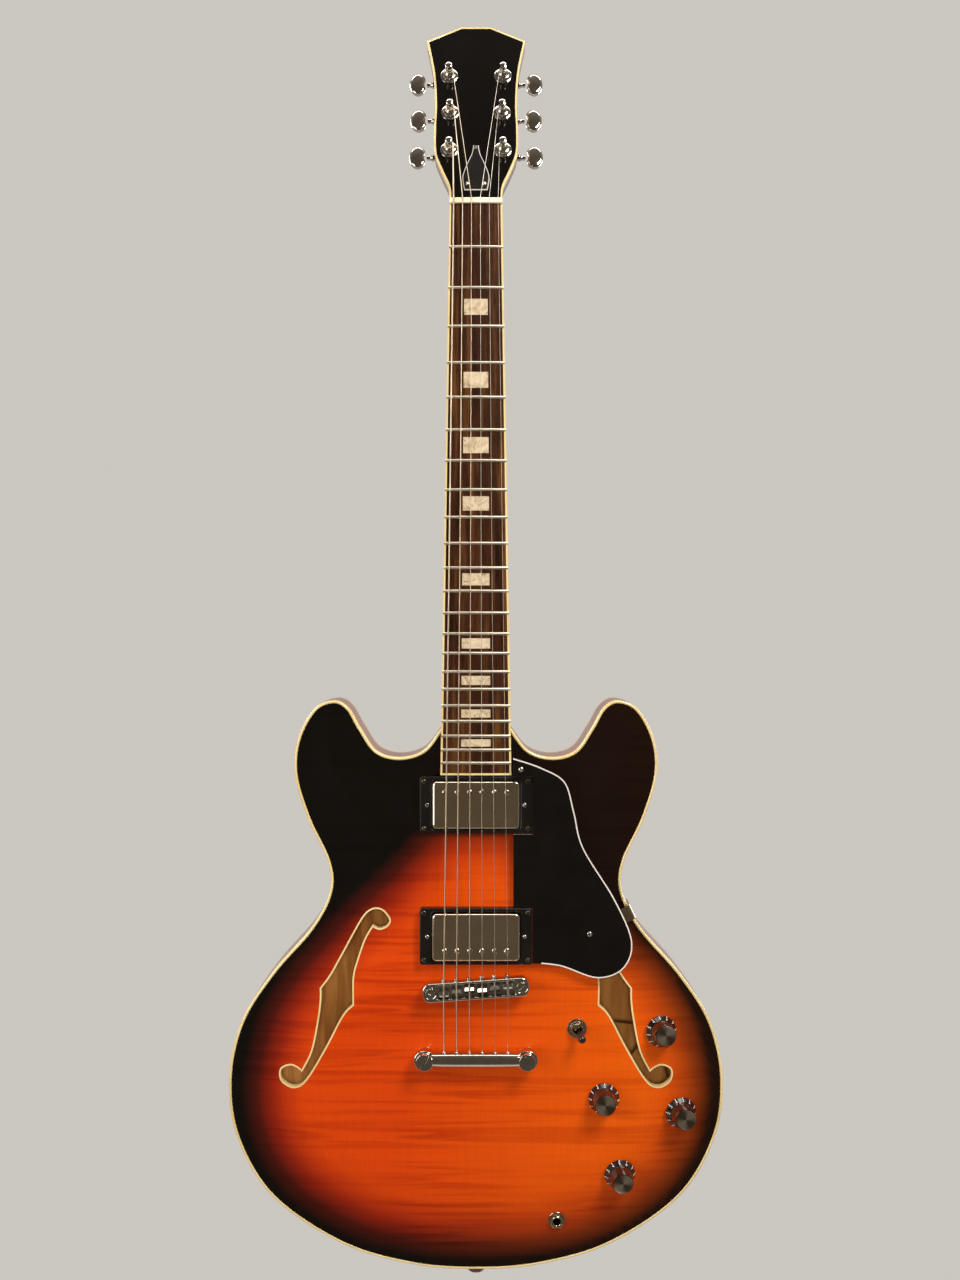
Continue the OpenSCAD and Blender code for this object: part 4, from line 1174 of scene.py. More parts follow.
def fret_tree() -> Tree:
    """Frets: one crowned bar at each place of the equal-tempered rule, bent to the board."""
    t = Tree("fret_rule")
    scale, count = t.input("Scale Length"), t.input("Count", "NodeSocketInt")
    nut, widen = t.input("Nut Half"), t.input("Widening")
    top, height, width = t.input("Board Top"), t.input("Height"), t.input("Width")
    radius, material = t.input("Board Radius"), t.input("Material", "NodeSocketMaterial")
    line = t.add("GeometryNodeMeshLine", {"mode": "OFFSET"}, Count=count)
    number = t.math("ADD", t.add("GeometryNodeInputIndex").outputs[0], 1.0)
    octave = t.math("POWER", 2.0, t.math("DIVIDE", number, -12.0))
    z = t.math("MULTIPLY", t.math("SUBTRACT", octave, 1.0), scale)
    spot = t.add("ShaderNodeCombineXYZ", None, X=0.0, Y=t.math("MULTIPLY", top, -1.0), Z=z).outputs[0]
    placed = t.add("GeometryNodeSetPosition", None, Geometry=line.outputs[0], Position=spot)
    rod = t.add("GeometryNodeMeshCylinder", None, Vertices=16, Side_Segments=10, Radius=1.0, Depth=2.0)
    lying = t.add(
        "GeometryNodeTransform", None, Geometry=rod.outputs["Mesh"], Rotation=(0.0, math.pi / 2, 0.0)
    )
    half = t.math("ADD", nut, t.math("MULTIPLY", t.math("MULTIPLY", z, -1.0), widen))
    size = t.add(
        "ShaderNodeCombineXYZ", None, X=half, Y=height, Z=t.math("MULTIPLY", width, 0.5)
    ).outputs[0]
    bars = t.add(
        "GeometryNodeInstanceOnPoints", None, Points=placed.outputs[0], Instance=lying.outputs[0],
        Scale=size,
    )
    real = t.add("GeometryNodeRealizeInstances", None, Geometry=bars.outputs[0])
    x = t.add("ShaderNodeSeparateXYZ", None, s0=t.add("GeometryNodeInputPosition").outputs[0]).outputs[0]
    fall = t.math("DIVIDE", t.math("MULTIPLY", x, x), t.math("MULTIPLY", radius, 2.0))
    shift = t.add("ShaderNodeCombineXYZ", None, Y=fall).outputs[0]
    bent = t.add("GeometryNodeSetPosition", None, Geometry=real.outputs[0], Offset=shift)
    t.finish(bent.outputs[0], material)
    return t


def fastener_tree() -> Tree:
    """Fasteners: one head at each point, turned to the axis attribute and scaled by the size attribute."""
    t = Tree("fasteners")
    head, material = t.input("Head", "NodeSocketObject"), t.input("Material", "NodeSocketMaterial")
    part = t.add("GeometryNodeObjectInfo", None, Object=head)
    axis = t.add("GeometryNodeInputNamedAttribute", {"data_type": "FLOAT_VECTOR"}, Name="axis")
    size = t.add("GeometryNodeInputNamedAttribute", {"data_type": "FLOAT"}, Name="size")
    spin = t.add("GeometryNodeInputNamedAttribute", {"data_type": "FLOAT"}, Name="spin")
    up = t.add("FunctionNodeAlignRotationToVector", {"axis": "Z"}, Vector=axis.outputs[0])
    twist = t.add("FunctionNodeAxisAngleToRotation", None, Axis=(0.0, 0.0, 1.0), Angle=spin.outputs[0])
    whole = t.add(
        "FunctionNodeRotateRotation", {"rotation_space": "LOCAL"}, s0=up.outputs[0], s1=twist.outputs[0]
    )
    set_out = t.add(
        "GeometryNodeInstanceOnPoints", None, Points=t.start.outputs[0], Instance=part.outputs["Geometry"],
        Rotation=whole.outputs[0], Scale=size.outputs[0],
    )
    t.finish(set_out.outputs[0], material)
    return t


def wire_tree() -> Tree:
    """Wires: a round rod along each line, as thick as the gauge attribute says, marked with its run."""
    t = Tree("wires")
    sides, material = t.input("Sides", "NodeSocketInt"), t.input("Material", "NodeSocketMaterial")
    curve = t.add("GeometryNodeMeshToCurve", None, Mesh=t.start.outputs[0])
    gauge = t.add("GeometryNodeInputNamedAttribute", {"data_type": "FLOAT"}, Name="gauge")
    run = t.add("GeometryNodeSplineParameter")
    marked = t.add(
        "GeometryNodeStoreNamedAttribute", {"data_type": "FLOAT", "domain": "POINT"},
        Geometry=curve.outputs[0], Name="run", Value=run.outputs["Length"],
    )
    ring = t.add("GeometryNodeCurvePrimitiveCircle", None, Resolution=sides, Radius=1.0)
    rod = t.add(
        "GeometryNodeCurveToMesh", None, Curve=marked.outputs[0], Profile_Curve=ring.outputs[0],
        Fill_Caps=True,
    )
    if "Scale" in rod.inputs:
        t.tree.links.new(gauge.outputs[0], rod.inputs["Scale"])
    else:
        sized = t.add("GeometryNodeSetCurveRadius", None, Curve=marked.outputs[0], Radius=gauge.outputs[0])
        t.tree.links.new(sized.outputs[0], rod.inputs["Curve"])
    t.finish(rod.outputs[0], material)
    return t


def points_mesh(name: str, places: Sequence[tuple[Matrix, float, float]]) -> bpy.types.Mesh:
    """A mesh of loose points that carry an axis, a size and a spin.

    Args:
        name: The mesh's name.
        places: For each, its frame in millimetres, its size and its spin in degrees.

    Returns:
        The mesh, in metres.
    """
    mesh = bpy.data.meshes.new(name)
    mesh.from_pydata([tuple(m.translation * MM) for m, _, _ in places], [], [])
    axis = mesh.attributes.new("axis", "FLOAT_VECTOR", "POINT")
    axis.data.foreach_set("vector", np.array([tuple(m.col[2][:3]) for m, _, _ in places]).ravel())
    mesh.attributes.new("size", "FLOAT", "POINT").data.foreach_set("value", [s for _, s, _ in places])
    mesh.attributes.new("spin", "FLOAT", "POINT").data.foreach_set(
        "value", [math.radians(a) for _, _, a in places]
    )
    return mesh


def lines_mesh(name: str, lines: Sequence[tuple[np.ndarray, float]]) -> bpy.types.Mesh:
    """A mesh of open lines, each with its own gauge.

    Args:
        name: The mesh's name.
        lines: For each, its points and its radius, in millimetres.

    Returns:
        The mesh, in metres.
    """
    points: list[Sequence[float]] = []
    edges: list[tuple[int, int]] = []
    gauges: list[float] = []
    for line, radius in lines:
        edges += [(len(points) + k, len(points) + k + 1) for k in range(len(line) - 1)]
        points += (np.asarray(line) * MM).tolist()
        gauges += [radius * MM] * len(line)
    mesh = bpy.data.meshes.new(name)
    mesh.from_pydata(points, edges, [])
    mesh.attributes.new("gauge", "FLOAT", "POINT").data.foreach_set("value", gauges)
    return mesh


def dress(node: str, finish: Finish) -> None:
    """Gives a kept node its finish."""
    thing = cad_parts[node]
    thing.data.materials.clear()
    thing.data.materials.append(finish.make())


def show(piece: bpy.types.Object, body: str, slot: str, *nodes: str) -> bpy.types.Object:
    """Puts a piece on its body and hides the nodes it stands for.

    Args:
        piece: The piece.
        body: The body it rides on.
        slot: Not used.
        *nodes: The nodes it replaces.

    Returns:
        The piece.
    """
    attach(piece, body)
    if nodes:
        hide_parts(*nodes)
    LOG.info("%s: %d faces on %s", piece.name, len(piece.data.polygons), body)
    return piece


# ---------------------------------------------------------------- body


@dataclass
class SoundBox:
    """The hollow body: top, back, side, bindings and the block inside."""

    binding: float = 2.4
    binding_depth: float = 6.5
    f_binding: float = 1.3
    side_wall: float = 4.0
    grid: float = 5.5
    pocket_half: float = 27.2
    pocket_end: float = -463.2
    controls: tuple[tuple[float, float], ...] = (
        (149, -669), (103, -722), (165, -735), (116, -784), (81.5, -666), (65.5, -824)
    )
    hole: float = 5.2

    def grid_points(self, outline: np.ndarray, holes: Sequence[np.ndarray]) -> np.ndarray:
        """Evenly staggered points inside an outline and clear of its holes."""
        rows = []
        for j, z in enumerate(np.arange(-866, -402, self.grid * 0.87)):
            x = np.arange(-201 + (j % 2) * self.grid / 2, 201, self.grid)
            rows.append(np.stack([x, np.full(len(x), z)], 1))
        points = np.concatenate(rows)
        keep = edge_distance(points, outline) > self.grid * 0.45
        for loop in holes:
            keep &= edge_distance(points, loop) < -self.grid * 0.3
        return points[keep]

    def notched(self) -> np.ndarray:
        """The top's outline with the neck's pocket cut in."""
        line = inset(BODY.outline(), self.binding)
        line = line[~((np.abs(line[:, 0]) < 29.5) & (line[:, 1] > -440))]
        top = -426.4
        pocket = [
            (-self.pocket_half, top), (-self.pocket_half, self.pocket_end),
            (self.pocket_half, self.pocket_end), (self.pocket_half, top),
        ]
        return np.concatenate([line, pocket])

    def burst(self, thing: bpy.types.Object, reach: float = 54.0, start: float = 7.0) -> None:
        """Stores the shading on a piece: 0 is black and 1 the bright middle."""
        points = np.array([v.co for v in thing.data.vertices]) / MM
        depth = edge_distance(points[:, [0, 2]], BODY.burst_line())
        paint_values(thing, "burst", np.clip((depth + start) / reach, 0, 1) * 0.98 + 0.01)

    def build_top(self) -> None:
        """The arched face with its f-holes and control holes."""
        f_right = inset(BODY.f_line(), -self.f_binding)
        holes = [f_right, mirrored(f_right)]
        holes += [circle(x, z, self.hole, 24) for x, z in self.controls]
        for z in LAYOUT.pickup_zs:
            holes.append(rounded_box(74, 41, 2) + (0, z))
        outline = self.notched()
        shape = Shape()
        shape.slab(
            outline, BODY.front, lambda p: BODY.front(p) + LAYOUT.plate, holes,
            inner=self.grid_points(outline, holes)
        )
        top = shape.build("top", [TOP_LACQUER], 40)
        self.burst(top)
        line_inside(top, INSIDE_MAPLE, 1.0)
        show(top, "guitar", "top_finish", "top_plate")

    def build_back(self) -> None:
        """The arched back."""
        outline = inset(BODY.outline(), self.binding)
        shape = Shape()
        shape.slab(
            outline, lambda p: BODY.back(p) - LAYOUT.plate, BODY.back, inner=self.grid_points(outline, ())
        )
        back = shape.build("back", [BACK_LACQUER], 40)
        points = np.array([v.co for v in back.data.vertices]) / MM
        depth = edge_distance(points[:, [0, 2]], BODY.outline(4))
        paint_values(back, "burst", np.clip(depth / 60, 0, 1) * 0.98 + 0.01)
        line_inside(back, INSIDE_MAPLE, -1.0)
        show(back, "guitar", "back_finish", "back_plate")

    def build_side(self) -> None:
        """The bent side between the bindings."""
        outline = BODY.outline()
        front = LAYOUT.rim_front + self.binding_depth + 0.02
        back = LAYOUT.rim_back - self.binding_depth - 0.02
        rows = []
        levels = np.linspace(front, back, 7)
        wall = inset(outline, self.side_wall)
        rows += [at_depth(outline, y) for y in levels]
        rows += [at_depth(wall, y) for y in np.linspace(back, front, 7)]
        rows.append(rows[0])
        shape = Shape()
        shape.skin(rows, capped=False)
        show(shape.build("side", [SIDE_LACQUER], 40), "guitar", "back_finish", "rim")

    def build_bindings(self) -> None:
        """The cream strips round the top, the back and the f-holes."""
        outline = BODY.outline()
        shape = Shape()
        lip = inset(outline, self.binding)
        shape.slab(outline, LAYOUT.rim_front, LAYOUT.rim_front + self.binding_depth, [lip], soft=1.1)
        shape.slab(outline, LAYOUT.rim_back - self.binding_depth, LAYOUT.rim_back, [lip], soft_back=1.1)
        for right in (True, False):
            line = BODY.f_line()
            line = line if right else mirrored(line)
            outer = inset(line, -self.f_binding)
            front = lambda p: BODY.front(p) - 0.12
            shape.slab(outer, front, lambda p: BODY.front(p) + LAYOUT.plate, [line])
        show(shape.build("body_bindings", [BINDING], 40), "guitar", "cream_binding", "bindings")

    def build(self) -> None:
        """Builds and dresses the whole body."""
        self.build_top()
        self.build_back()
        self.build_side()
        self.build_bindings()
        dress("centre_block", BARE_MAPLE)
        dress("linings", BARE_MAPLE)


# ---------------------------------------------------------------- neck


@dataclass
class NeckAssembly:
    """The neck, its headstock, board, frets, inlays, nut and truss rod."""

    depth: float = 16.0
    head_depth: float = 13.0
    veneer: float = 1.5
    edge: float = 1.6
    fret_width: float = 2.4
    fret_height: float = 1.1
    head_knots: tuple[tuple[float, float], ...] = (
        (21.5, 0), (22.5, 12), (28.5, 27), (34, 44), (34.6, 68), (34, 92), (36, 122), (41.5, 153),
    )
    cover_knots: tuple[tuple[float, float], ...] = ((9.5, 8), (11, 20), (7.5, 32), (3.5, 42), (2.2, 50))

    def head_line(self) -> np.ndarray:
        """The headstock's outline, clockwise seen from the front."""
        half = spline(self.head_knots, 8)
        points = np.concatenate([half, [(12.5, 167), (-12.5, 167)], mirrored(half)])
        return points[::-1]

    def head_holes(self) -> list[np.ndarray]:
        """The six holes for the tuners' bushings."""
        holes = []
        for x, z in zip(LAYOUT.tuner_xs, LAYOUT.tuner_zs):
            holes += [circle(x, z, 5.0), circle(-x, z, 5.0)]
        return holes

    def section(self, half: float, depth: float, square: float, count: int = 28) -> np.ndarray:
        """Half of a rounded section, flat in front, as x and depth pairs."""
        angles = np.linspace(0, math.pi, count)
        power = 2 / square
        x = half * np.sign(np.cos(angles)) * np.abs(np.cos(angles)) ** power
        y = depth * np.abs(np.sin(angles)) ** power
        return np.stack([x, y], 1)

    def build_wood(self) -> None:
        """The shaft, the heel and the headstock's core."""
        shape = Shape()
        rows = []
        heel_depth = (16 + 424 * math.sin(math.radians(3))) / math.cos(math.radians(3))
        for z in np.concatenate([[-462.6, -424], np.linspace(-422, -372, 12), np.linspace(-360, -2, 24)]):
            half = LAYOUT.board_half(z) - 0.02
            share = np.clip((-z - 374) / 34, 0, 1)
            share = share * share * (3 - 2 * share)
            deep = self.depth + 2 * min(1.0, -z / 370)
            deep += (heel_depth - 1.2 - deep) * share
            if z < -423.9:
                half, deep = 26.9, 33.0
            section = self.section(half, deep, 2 + 3.2 * share)
            rows.append(np.stack([section[:, 0], section[:, 1], np.full(len(section), z)], 1))
        shape.skin([r[::-1] for r in rows], place=LAYOUT.neck)
        throat = []
        for k, t in enumerate(np.linspace(0, 1, 10)):
            z = -3 + 27 * t
            ease = t * t * (3 - 2 * t)
            half = (21.3 if z < 5 else 21.2 + 1.4 * (z - 5) / 19)
            lean = math.tan(math.radians(14)) * max(0.0, z - 5)
            front = lean + 0.8 if z > 5 else 0.1
            section = self.section(
                half, self.depth + (self.head_depth + lean - self.depth - 0.1) * ease - front,
                2.0 + 6 * ease,
            )
            throat.append(np.stack([section[:, 0], section[:, 1] + front, np.full(len(section), z)], 1))
        shape.skin([r[::-1] for r in throat], place=LAYOUT.neck)
        line = self.head_line()
        holes = self.head_holes()
        shape.slab(line, 4.02, self.head_depth, holes, soft_back=1.0, place=LAYOUT.head)
        shape.slab(inset(line, self.edge), 0.0, 4.0, holes, place=LAYOUT.head)
        show(shape.build("neck_wood", [NECK_LACQUER], 42), "guitar", "neck_finish", "neck")

    def build_head_face(self) -> None:
        """The black face of the headstock."""
        line = inset(self.head_line(), self.edge)
        line = line[line[:, 1] > 1.2]
        holes = self.head_holes()
        holes.append(rounded_box(6.8, 15, 3) + (0, 18.5))
        shape = Shape()
        shape.slab(line, -self.veneer, -0.02, holes, place=LAYOUT.head)
        show(shape.build("head_face", [HEAD_BLACK], 40), "guitar", "black_gloss", "headstock_veneer")

    def build_bindings(self) -> None:
        """The cream edges of the board and the headstock."""
        shape = Shape()
        line = self.head_line()
        shape.slab(line, -self.veneer, 4.0, [inset(line, self.edge)], soft=0.35, place=LAYOUT.head)
        end = LAYOUT.board_length
        top = LAYOUT.board_depth
        for side in (-1, 1):
            rows = []
            for z in np.linspace(0, -end, 24):
                half = LAYOUT.board_half(z)
                section = []
                for x, soft in ((half - self.edge, 0.0), (half - 0.5, 0.0), (half, 0.5)):
                    section.append((side * x, -top + LAYOUT.crown(x) + soft, z))
                section += [(side * half, 0, z), (side * (half - self.edge), 0, z)]
                rows.append(np.array(section))
            shape.skin(rows if side < 0 else [r[::-1] for r in rows], place=LAYOUT.neck)
        half = LAYOUT.board_end / 2
        xs = np.linspace(-half, half, 15)
        front = [(x, -top + LAYOUT.crown(x), -end + self.edge) for x in xs]
        lower = [(x, -top + LAYOUT.crown(x), -end) for x in xs]
        foot = [(x, 0.0, -end) for x in xs]
        heel = [(x, 0.0, -end + self.edge) for x in xs]
        shape.skin(
            [np.array(r) for r in (heel, foot, lower, front, heel)], closed=False, capped=False,
            place=LAYOUT.neck,
        )
        show(shape.build("neck_bindings", [BINDING], 40), "guitar", "cream_binding", "neck_binding")

    def build_frets(self) -> None:
        """The frets, from the fret rule tree."""
        base = bpy.data.meshes.new("fret_base")
        values = {
            "Scale Length": LAYOUT.scale_length * MM,
            "Count": LAYOUT.frets,
            "Nut Half": (LAYOUT.nut_width / 2 - 0.15) * MM,
            "Widening": (LAYOUT.board_end - LAYOUT.nut_width) / 2 / LAYOUT.board_length,
            "Board Top": LAYOUT.board_depth * MM,
            "Height": self.fret_height * MM,
            "Width": self.fret_width * MM,
            "Board Radius": LAYOUT.board_radius * MM,
            "Material": FRET_METAL.make(),
        }
        piece = fret_tree().run("fret_bars", base, values, 50)
        piece.data.transform(LAYOUT.neck)
        show(piece, "guitar", "fret_metal", "frets")

    def build_nut(self) -> None:
        """The nut, rounded over, with its string slots."""
        rows = []
        for x in np.linspace(-LAYOUT.nut_width / 2 + 0.1, LAYOUT.nut_width / 2 - 0.1, 121):
            top = -LAYOUT.nut_top - 0.55 + LAYOUT.crown(x)
            for n in STRINGS:
                away = abs(x - LAYOUT.across(n) * LAYOUT.nut_spread)
                wide = LAYOUT.gauges[n - 1] + 0.1
                if away < wide:
                    top = -LAYOUT.nut_top + LAYOUT.crown(x) + math.sqrt(wide**2 - away**2)
            rows.append(
                np.array(
                    [
                        (x, -0.05, 0.05), (x, top + 0.5, 0.05), (x, top, 0.5), (x, top, 3.6),
                        (x, top + 1.2, 4.65), (x, -0.05, 4.65),
                    ]
                )
            )
        shape = Shape()
        shape.skin(rows, place=LAYOUT.neck)
        show(shape.build("nut_bone", [BONE], 30), "guitar", "bone", "nut")

    def build_cover(self) -> None:
        """The bell-shaped cover over the truss rod's nut, with a pale lower ply."""
        half = spline(self.cover_knots, 8)
        line = np.concatenate([half, mirrored(half)])[::-1]
        low = -self.veneer - 0.02
        shape = Shape()
        shape.slab(line, low - 0.9, low, slot=1, place=LAYOUT.head)
        shape.slab(inset(line, 0.7), low - 2.1, low - 0.9, soft=0.4, place=LAYOUT.head)
        show(
            shape.build("rod_cover", [COVER_BLACK, GUARD_WHITE], 40), "guitar", "black_gloss",
            "truss_rod_cover",
        )

    def build(self) -> None:
        """Builds and dresses the whole neck."""
        self.build_wood()
        self.build_head_face()
        self.build_bindings()
        self.build_frets()
        self.build_nut()
        self.build_cover()
        dress("fingerboard", ROSEWOOD)
        dress("inlays", PEARL)
        dress("truss_rod", STEEL)


# ---------------------------------------------------------------- pickups


@dataclass
class PickupSet:
    """The two covered pickups with their frames and adjustable poles."""

    ring: tuple[float, float] = (90.0, 45.5)
    cover: tuple[float, float] = (70.0, 38.0)
    cover_levels: tuple[tuple[float, float], ...] = (
        (0.0, 1.6), (0.22, 0.9), (0.8, 0.25), (1.6, 0.0), (16.0, 0.0), (16.0, 0.6), (1.8, 0.6),
    )

    def build_rings(self) -> None:
        """The black frames, sloped to their outer edges."""
        shape = Shape()
        for z, height in zip(LAYOUT.pickup_zs, LAYOUT.ring_heights):
            outline = rounded_box(*self.ring, 2.2) + (0, z)
            hole = rounded_box(self.cover[0] + 1.2, self.cover[1] + 1.2, 2.4) + (0, z)
            shape.slab(outline, LAYOUT.flat - height, LAYOUT.flat - 0.02, [hole], soft=0.9)
        show(shape.build("ring_frames", [RING_BLACK], 30), "guitar", "black_plastic", "pickup_rings")

    def build_covers(self) -> None:
        """The plated covers: soft-edged boxes with a hole for each pole."""
        shape = Shape()
        for z, top, side in zip(LAYOUT.pickup_zs, LAYOUT.cover_tops, LAYOUT.pole_sides):
            outline = rounded_box(*self.cover, 3.2, 8) + (0, z)
            pole_z = z + side * LAYOUT.pole_offset
            holes = [circle(LAYOUT.pole_x(n), pole_z, 2.45, 20) for n in STRINGS]
            front = LAYOUT.flat - top
            rows = [at_depth(inset(outline, pull), front + down) for down, pull in self.cover_levels]
            shape.skin(rows[::-1], capped=False)
            shape.slab(inset(outline, 1.6), front, front + 0.6, holes)
        show(shape.build("cover_shells", [COVER_METAL], 34), "guitar", "chrome", "pickup_covers")

    def build(self) -> None:
        """Builds and dresses both pickups."""
        self.build_rings()
        self.build_covers()
        dress("pickup_coils", COIL_BLACK)


# ---------------------------------------------------------------- screws


@dataclass
class ScrewSets:
    """Every small screw, set out by the fastener tree."""

    lift: float = 0.03
    rod_cover: tuple[tuple[float, float], ...] = ((-7, 13), (7, 13), (0, 47))
    guard: tuple[tuple[float, float], ...] = ((36, -456), (91, -588))

    def pan_head(self, name: str, slotted: bool) -> bpy.types.Object:
        """A unit screw: a domed head with a recess and a plain shank.

        Args:
            name: The object's name.
            slotted: True for one slot, False for a cross.

        Returns:
            A hidden object of head radius 1 mm, its head's seat at its origin.
        """
        rings, sides = 7, 32
        shape = Shape()
        points, faces = [], []
        for r in range(rings + 1):
            share = r / rings
            radius = 1.0 * math.sin(share * math.pi / 2)
            height = 0.12 + 0.42 * math.cos(share * math.pi / 2)
            for k in range(sides):
                angle = 2 * math.pi * k / sides
                x, y = radius * math.cos(angle), radius * math.sin(angle)
                arm = min(abs(x), abs(y)) if not slotted else abs(y)
                reach = max(abs(x), abs(y)) if not slotted else abs(x)
                dip = 0.24 if arm < 0.17 and reach < (0.62 if not slotted else 0.99) else 0.0
                points.append((x, y, height - dip))
        for r in range(rings):
            for k in range(sides):
                n = (k + 1) % sides
                faces.append((r * sides + k, (r + 1) * sides + k, (r + 1) * sides + n, r * sides + n))
        shape.add(points, faces)
        shape.revolve([(0, -2.0), (0.45, -2.0), (0.45, 0.0), (1.0, 0.0), (1.0, 0.12)], sides=sides)
        thing = shape.build(name, [CHROME], 30)
        face_outwards(thing)
        smooth(thing.data, 34)
        thing.hide_render = True
        return thing

    def trim_places(self) -> list[tuple[Matrix, float, float]]:
        """Places of the frame, height, cover, guard and button screws."""
        places = []
        for k, (z, height) in enumerate(zip(LAYOUT.pickup_zs, LAYOUT.ring_heights)):
            y = LAYOUT.flat - height - self.lift
            for sx in (-1, 1):
                places.append((move(sx * 39, y, z) @ OUTWARD, 1.65, 33 * sx + 70 * k))
        for x, z in self.rod_cover:
            places.append((LAYOUT.head @ move(x, -3.6 - self.lift, z) @ OUTWARD, 1.6, 40 * x + z))
        for x, z in self.guard:
            places.append((move(x, -33.5 - self.lift, z) @ OUTWARD, 2.15, x))
        places.append((move(0, 2, -875.4) @ turn("X", 180), 2.9, 24))
        places.append((move(0, 24.4, -413.5) @ INWARD, 2.9, 61))
        return places

    def frame_places(self) -> list[tuple[Matrix, float, float]]:
        """Places of the dark corner screws of the pickup frames."""
        places = []
        for k, (z, height) in enumerate(zip(LAYOUT.pickup_zs, LAYOUT.ring_heights)):
            for sx in (-1, 1):
                for sz in (-1, 1):
                    y = LAYOUT.flat - height - self.lift
                    spot = move(sx * 41.6, y, z + sz * 19) @ OUTWARD
                    places.append((spot, 2.0, 20 * sx + 50 * sz + 13 * k))
        return places

    def pole_places(self) -> list[tuple[Matrix, float, float]]:
        """Places of the twelve pole screws."""
        places = []
        pickups = zip(LAYOUT.pickup_zs, LAYOUT.cover_tops, LAYOUT.pole_sides)
        for k, (z, top, side) in enumerate(pickups):
            for n in STRINGS:
                pole_z = z + side * LAYOUT.pole_offset
                spot = move(LAYOUT.pole_x(n), LAYOUT.flat - top - 0.1, pole_z) @ OUTWARD
                places.append((spot, 2.3, (57 * n + 31 * k * n) % 180))
        return places

    def build(self) -> None:
        """Sets out the trim screws and the poles."""
        tree = fastener_tree()
        cross = self.pan_head("cross_head", False)
        slot = self.pan_head("slot_head", True)
        for name, places, head, finish, slot_name, nodes in (
            ("trim", self.trim_places(), cross, CHROME, "chrome", ["trim_screws"]),
            ("frame", self.frame_places(), cross, DARK_STEEL, "chrome", []),
            ("pole", self.pole_places(), slot, NICKEL, "nickel", ["pole_screws"]),
        ):
            values = {"Head": head, "Material": finish.make()}
            heads = tree.run(f"{name}_heads", points_mesh(f"{name}_points", places), values)
            show(heads, "guitar", slot_name, *nodes)
        for thing in (cross, slot):
            bpy.data.objects.remove(thing)


# ---------------------------------------------------------------- bridge and tailpiece


